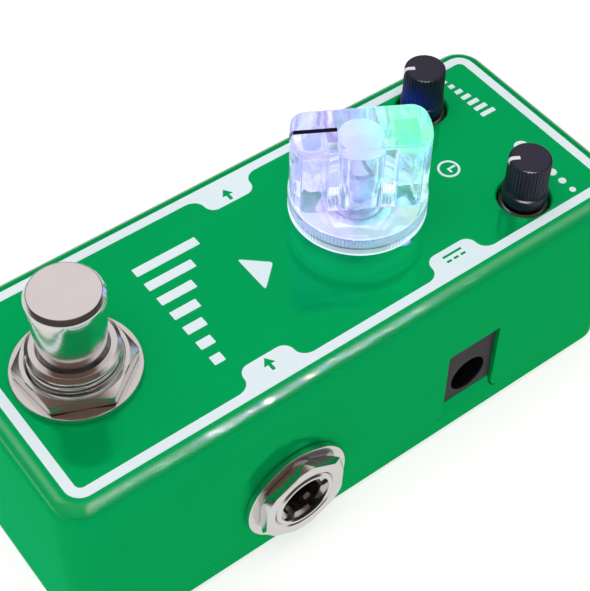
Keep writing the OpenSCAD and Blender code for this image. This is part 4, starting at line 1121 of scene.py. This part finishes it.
class PEDAL_OT_small_knobs(bpy.types.Operator):
    """Builds both fluted knobs with their pointers and the bushes below them"""
    bl_idname = "pedal.small_knobs"
    bl_label = "Small knobs"

    def execute(self, context):
        look = context.scene.pedal_small
        black = grained(
            "knob_plastic", look.black, 0.3, contrast=0.2, grain=1200.0, depth=0.01, specular=0.35)
        dull = grained("dull_steel", (0.45, 0.43, 0.42), 0.3, 1.0)
        white = grained("pointer_white", (0.82, 0.82, 0.84), 0.4, contrast=0.04)
        low, high = extent("level_knob")
        knob, line = self.knob(look, high - low), self.line(look, high - low)
        for side in ("level", "repeat"):
            body = side + "_control"
            x, y = middle(side + "_knob")[:2]
            dial = solid(side + "_dial", [move(knob, (x, y, low), POINTER)], FINE_CREASE)
            fit(dial, body, black, "knob_plastic", side + "_knob")
            fit(solid(side + "_pointer", [move(line, (x, y, low), POINTER)]), body, white, "knob_plastic")
            bush = sleeve(1.75, *extent(side + "_pot_bush"), rim=3.1, lip=0.1)
            ring = solid(side + "_bush", [move(bush, (x, y, 0))])
            fit(ring, "case", dull, "plated_steel", side + "_pot_bush")
        return {"FINISHED"}

    def knob(self, look, tall):
        """Knob turned about Z: a collar, flutes that follow the cosine of the angle, a round top edge."""
        depth, count = look.flute_depth / MM, look.flutes
        radius, collar, collar_top, ease, bevel = 3.0, 3.2, 2.0, 0.5, 0.15
        bore, bore_roof = 1.72, 5.4

        def flutes(r, z, theta):
            wave = np.clip(0.5 - 1.1 * np.cos(theta * count), 0, 1)
            return r - depth * wave * (r > radius - 0.1) * (z > collar_top), z

        rows = [(0, bore_roof), (bore, bore_roof), (bore, 0), (collar - bevel, 0), (collar, bevel)]
        rows += [(collar, collar_top - 0.2), (collar - bevel, collar_top)]
        rows += [(radius, collar_top + 0.02), (radius, tall - 0.6)]
        turn = np.radians([25.0, 40.0, 55.0, 72.0, 90.0])
        rows += list(zip(radius - ease + ease * np.cos(turn), tall - ease + ease * np.sin(turn)))
        rows += [(2.4, tall), (0, tall)]
        return lathe(rows, around(count * 8), flutes)

    def line(self, look, tall):
        """White pointer that runs out along the top, over its round edge and down the side."""
        start, edge, wall, high = 1.5, 2.5, 3.01, tall + 0.01
        shoulder, side_high, side_low = (2.86, tall - 0.13), tall - 0.5, tall - 0.9
        ease, thick = 0.15, 0.03
        path = [(start, high), (edge, high), shoulder, (wall, side_high), (wall, side_low)]
        return strip(soften(path, ease), look.pointer / MM, thick)


class PEDAL_OT_inside(bpy.types.Operator):
    """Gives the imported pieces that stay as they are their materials"""
    bl_idname = "pedal.inside"
    bl_label = "Pieces kept as packed"

    def execute(self, context):
        kinds = {
            "screw_steel": ((0.55, 0.55, 0.56), 0.3, 1.0, ("base_screws",)),
            "pad_rubber": ((0.02, 0.02, 0.02), 0.8, 0.0, ("base_pad",)),
            "stem_plastic": ((0.75, 0.72, 0.62), 0.4, 0.0, ("footswitch_plunger",)),
            "switch_plastic": ((0.03, 0.08, 0.4), 0.4, 0.0, ("footswitch_body",)),
            "inner_plate": ((0.7, 0.7, 0.68), 0.28, 1.0, ("footswitch_inner_nut", "power_jack_pin")),
            "contact_brass": ((0.09, 0.065, 0.03), 0.5, 1.0, (
                "footswitch_lugs", "input_jack_contacts", "output_jack_contacts", "power_jack_contact")),
            "board_laminate": ((0.01, 0.12, 0.04), 0.4, 0.0, ("switch_board", "circuit_board")),
            "ribbon_plastic": ((0.5, 0.5, 0.5), 0.5, 0.0, ("switch_ribbon",)),
            "pot_plastic": ((0.03, 0.06, 0.16), 0.5, 0.0, (
                "time_pot_body", "level_pot_body", "repeat_pot_body")),
            "small_shaft_plastic": ((0.3, 0.3, 0.3), 0.5, 0.0, ("level_shaft", "repeat_shaft")),
            "chip_plastic": ((0.015, 0.015, 0.016), 0.5, 0.0, ("circuit_chips",)),
            "can_metal": ((0.3, 0.32, 0.36), 0.35, 0.5, ("circuit_capacitors",)),
        }
        for name, (colour, rough, metal, nodes) in kinds.items():
            finish = grained(name, colour, rough, metal, contrast=0.15, grain=1000.0, depth=0.01)
            self.give(finish, *nodes)
        self.give(self.socket(), "input_jack_body", "output_jack_body", "power_jack_body")
        self.give(plate_finish(), *(name for name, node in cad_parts.items() if node.hide_render))
        return {"FINISHED"}

    def give(self, finish, *nodes):
        """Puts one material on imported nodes."""
        for node in nodes:
            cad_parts[node].data.materials.clear()
            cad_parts[node].data.materials.append(finish)

    def socket(self):
        """Dark plastic with painted shade: it turns black behind the power socket's face, where the bore lies
        in shadow.
        """
        def recipe(place):
            # Painted shade: black further in than the face, dark grey at the face itself.
            face = place.axis(0).ease((POWER_HIGH[0] - 0.4) * MM, (POWER_HIGH[0] - 0.05) * MM)
            return {
                "Base Color": face.mix((0.004, 0.004, 0.005, 1.0), (0.026, 0.025, 0.031, 1.0)),
                "Roughness": 0.38 + place.noise(1000.0) * 0.1,
                "Specular IOR Level": 0.12,
            }
        return surface("socket_plastic", recipe)


class PEDAL_OT_stage(bpy.types.Operator):
    """Sets the floor, the lights, the surroundings and the camera"""
    bl_idname = "pedal.stage"
    bl_label = "Stage"

    def execute(self, context):
        look = context.scene.pedal_stage
        scene = context.scene
        scene.view_settings.view_transform = "Standard"
        self.floor(look)
        key = self.area("stage_key", (0.1, -0.2, 0.9), 0.8, 0.8, 5.2)
        fill = self.area("stage_fill", (0.7, -0.6, 0.35), 0.6, 0.5, 1.3)
        edge = self.area("stage_edge", (0.523, 0.124, 0.634), 0.6, 0.45, 3.6)
        glint = self.area("stage_glint", (0.54, -0.42, 0.62), 0.7, 0.4, 30.0)
        for lamp in (key, fill):
            lamp.visible_glossy = False
        for lamp in (edge, glint):
            lamp.visible_diffuse = False
        edge.data.cycles.max_bounces = 0
        edge.data.cycles.use_multiple_importance_sampling = False
        self.only_on(edge, "case_shell")
        self.only_on(glint, "level_dial", "repeat_dial")
        self.spill()
        self.world(scene)
        self.camera(scene, look)
        return {"FINISHED"}

    def floor(self, look):
        """Flat floor, far wider than the view, which gives off some light and isn't seen in reflections."""
        def recipe(place):
            cloud = place.noise(3.0, 2.0)
            return {
                "Base Color": cloud.mix(rgba(look.floor, 0.99), rgba(look.floor, 1.01)),
                "Roughness": 0.9,
                "Specular IOR Level": 0.0,
                "Emission Color": cloud.mix((0.99, 0.99, 0.99, 1.0), (1.0, 1.0, 1.0, 1.0)),
                "Emission Strength": look.floor_glow,
            }

        side = 6000.0
        near, far = [(-side, -side, 0), (side, -side, 0)], [(-side, side, 0), (side, side, 0)]
        floor = solid("stage_floor", [weave(np.array([near, far], float), ring=False)])
        floor.data.materials.append(surface("stage_floor", recipe))
        floor.visible_glossy = False

    def aimed(self, lamp, place, aim):
        """Puts a light at a place and turns it to its aim, both in metres."""
        made = bpy.data.objects.new(lamp.name, lamp)
        bpy.context.scene.collection.objects.link(made)
        place = Vector(place)
        turn = (Vector(aim) - place).to_track_quat("-Z", "Y")
        made.matrix_world = Matrix.Translation(place) @ turn.to_matrix().to_4x4()
        return made

    def area(self, name, place, wide, tall, power):
        """Rectangular light that is turned to the middle of the pedal."""
        lamp = bpy.data.lights.new(name, "AREA")
        lamp.shape = "RECTANGLE"
        lamp.size, lamp.size_y, lamp.energy = wide, tall, power
        return self.aimed(lamp, place, (0, 0, 0.03))

    def spill(self):
        """Blue light that leaves the clear knob towards the level knob."""
        lamp = bpy.data.lights.new("stage_spill", "SPOT")
        lamp.energy, lamp.color = 0.05, (0.03, 0.08, 1.0)
        lamp.spot_size, lamp.spot_blend = math.radians(30.0), 0.8
        lamp.shadow_soft_size = 2.0 * MM
        place, aim = Vector((-4.0, 17.0, 39.5)) * MM, Vector((-12.0, 31.7, 34.0)) * MM
        self.only_on(self.aimed(lamp, place, aim), "level_dial")

    def only_on(self, lamp, *pieces):
        """Lets a light fall on some pieces alone."""
        lit = bpy.data.collections.new(lamp.name + "_lit")
        for piece in pieces:
            lit.objects.link(bpy.data.objects[piece])
        lamp.light_linking.receiver_collection = lit

    def world(self, scene):
        """Surroundings that are white below and dark just above the horizon.
        Higher up they are dark on the camera's side and pale elsewhere."""
        made = bpy.data.worlds.new("stage_world")
        made.use_nodes = True
        scene.world = made
        tree = made.node_tree
        place = Wire(tree).node("ShaderNodeTexCoord", out="Generated")
        rise = place.axis(2)
        near = (place.axis(0) * 0.78 - place.axis(1) * 0.62).ease(-0.05, 0.3)
        below, horizon = (0.82, 0.81, 0.8, 1.0), (0.06, 0.055, 0.05, 1.0)
        pale, dark = (0.8, 0.75, 0.74, 1.0), (0.14, 0.09, 0.07, 1.0)
        low = rise.ease(-0.15, 0.0).mix(below, horizon)
        sky = rise.ease(0.3, 0.62).mix(low, near.mix(pale, dark))
        tree.links.new(sky.socket, tree.nodes["Background"].inputs["Color"])

    def camera(self, scene, look):
        """Camera worked out from the photo's edges: place, directions, focal length and shift."""
        place = np.array([104.83, -80.03, 182.78]) * MM
        yaw, pitch, roll = np.radians([51.633, 49.532, 1.595])
        right = np.array([math.cos(yaw), math.sin(yaw), 0])
        back = np.array([math.sin(yaw) * math.cos(pitch), -math.cos(yaw) * math.cos(pitch), math.sin(pitch)])
        up = np.cross(back, right)
        across = math.cos(roll) * right + math.sin(roll) * up
        upward = math.cos(roll) * up - math.sin(roll) * right
        lens = bpy.data.cameras.new("stage_camera")
        lens.lens, lens.sensor_width = look.lens, 36.0
        lens.shift_x, lens.shift_y = -0.02538, -0.03844
        lens.clip_start = 0.01
        made = bpy.data.objects.new("stage_camera", lens)
        scene.collection.objects.link(made)
        turned = np.eye(4)
        turned[:3, 0], turned[:3, 1], turned[:3, 2] = across, upward, back
        turned[:3, 3] = place
        made.matrix_world = Matrix(turned.tolist())
        scene.camera = made


class PEDAL_PT_panel(bpy.types.Panel):
    """Lists the pedal's builders"""
    bl_idname = "PEDAL_PT_panel"
    bl_label = "Mini delay pedal"
    bl_space_type = "VIEW_3D"
    bl_region_type = "UI"
    bl_category = "Pedal"

    def draw(self, context):
        for operator in OPERATORS:
            self.layout.operator(operator.bl_idname)


LOOKS = {
    "pedal_case": CaseLook,
    "pedal_print": PrintLook,
    "pedal_foot": FootLook,
    "pedal_socket": SocketLook,
    "pedal_time": TimeLook,
    "pedal_small": SmallLook,
    "pedal_stage": StageLook,
}
OPERATORS = (
    PEDAL_OT_case,
    PEDAL_OT_print,
    PEDAL_OT_footswitch,
    PEDAL_OT_sockets,
    PEDAL_OT_time_knob,
    PEDAL_OT_small_knobs,
    PEDAL_OT_inside,
    PEDAL_OT_stage,
)


def register():
    for kind in (*LOOKS.values(), *OPERATORS, PEDAL_PT_panel):
        bpy.utils.register_class(kind)
    for name, kind in LOOKS.items():
        setattr(bpy.types.Scene, name, bpy.props.PointerProperty(type=kind))


def unregister():
    for name in LOOKS:
        delattr(bpy.types.Scene, name)
    for kind in reversed((*LOOKS.values(), *OPERATORS, PEDAL_PT_panel)):
        bpy.utils.unregister_class(kind)


def main():
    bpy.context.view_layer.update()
    register()
    bpy.ops.pedal.case()
    bpy.ops.pedal.print()
    bpy.ops.pedal.footswitch()
    bpy.ops.pedal.sockets()
    bpy.ops.pedal.time_knob()
    bpy.ops.pedal.small_knobs()
    bpy.ops.pedal.inside()
    bpy.ops.pedal.stage()


if __name__ == "__main__":
    main()
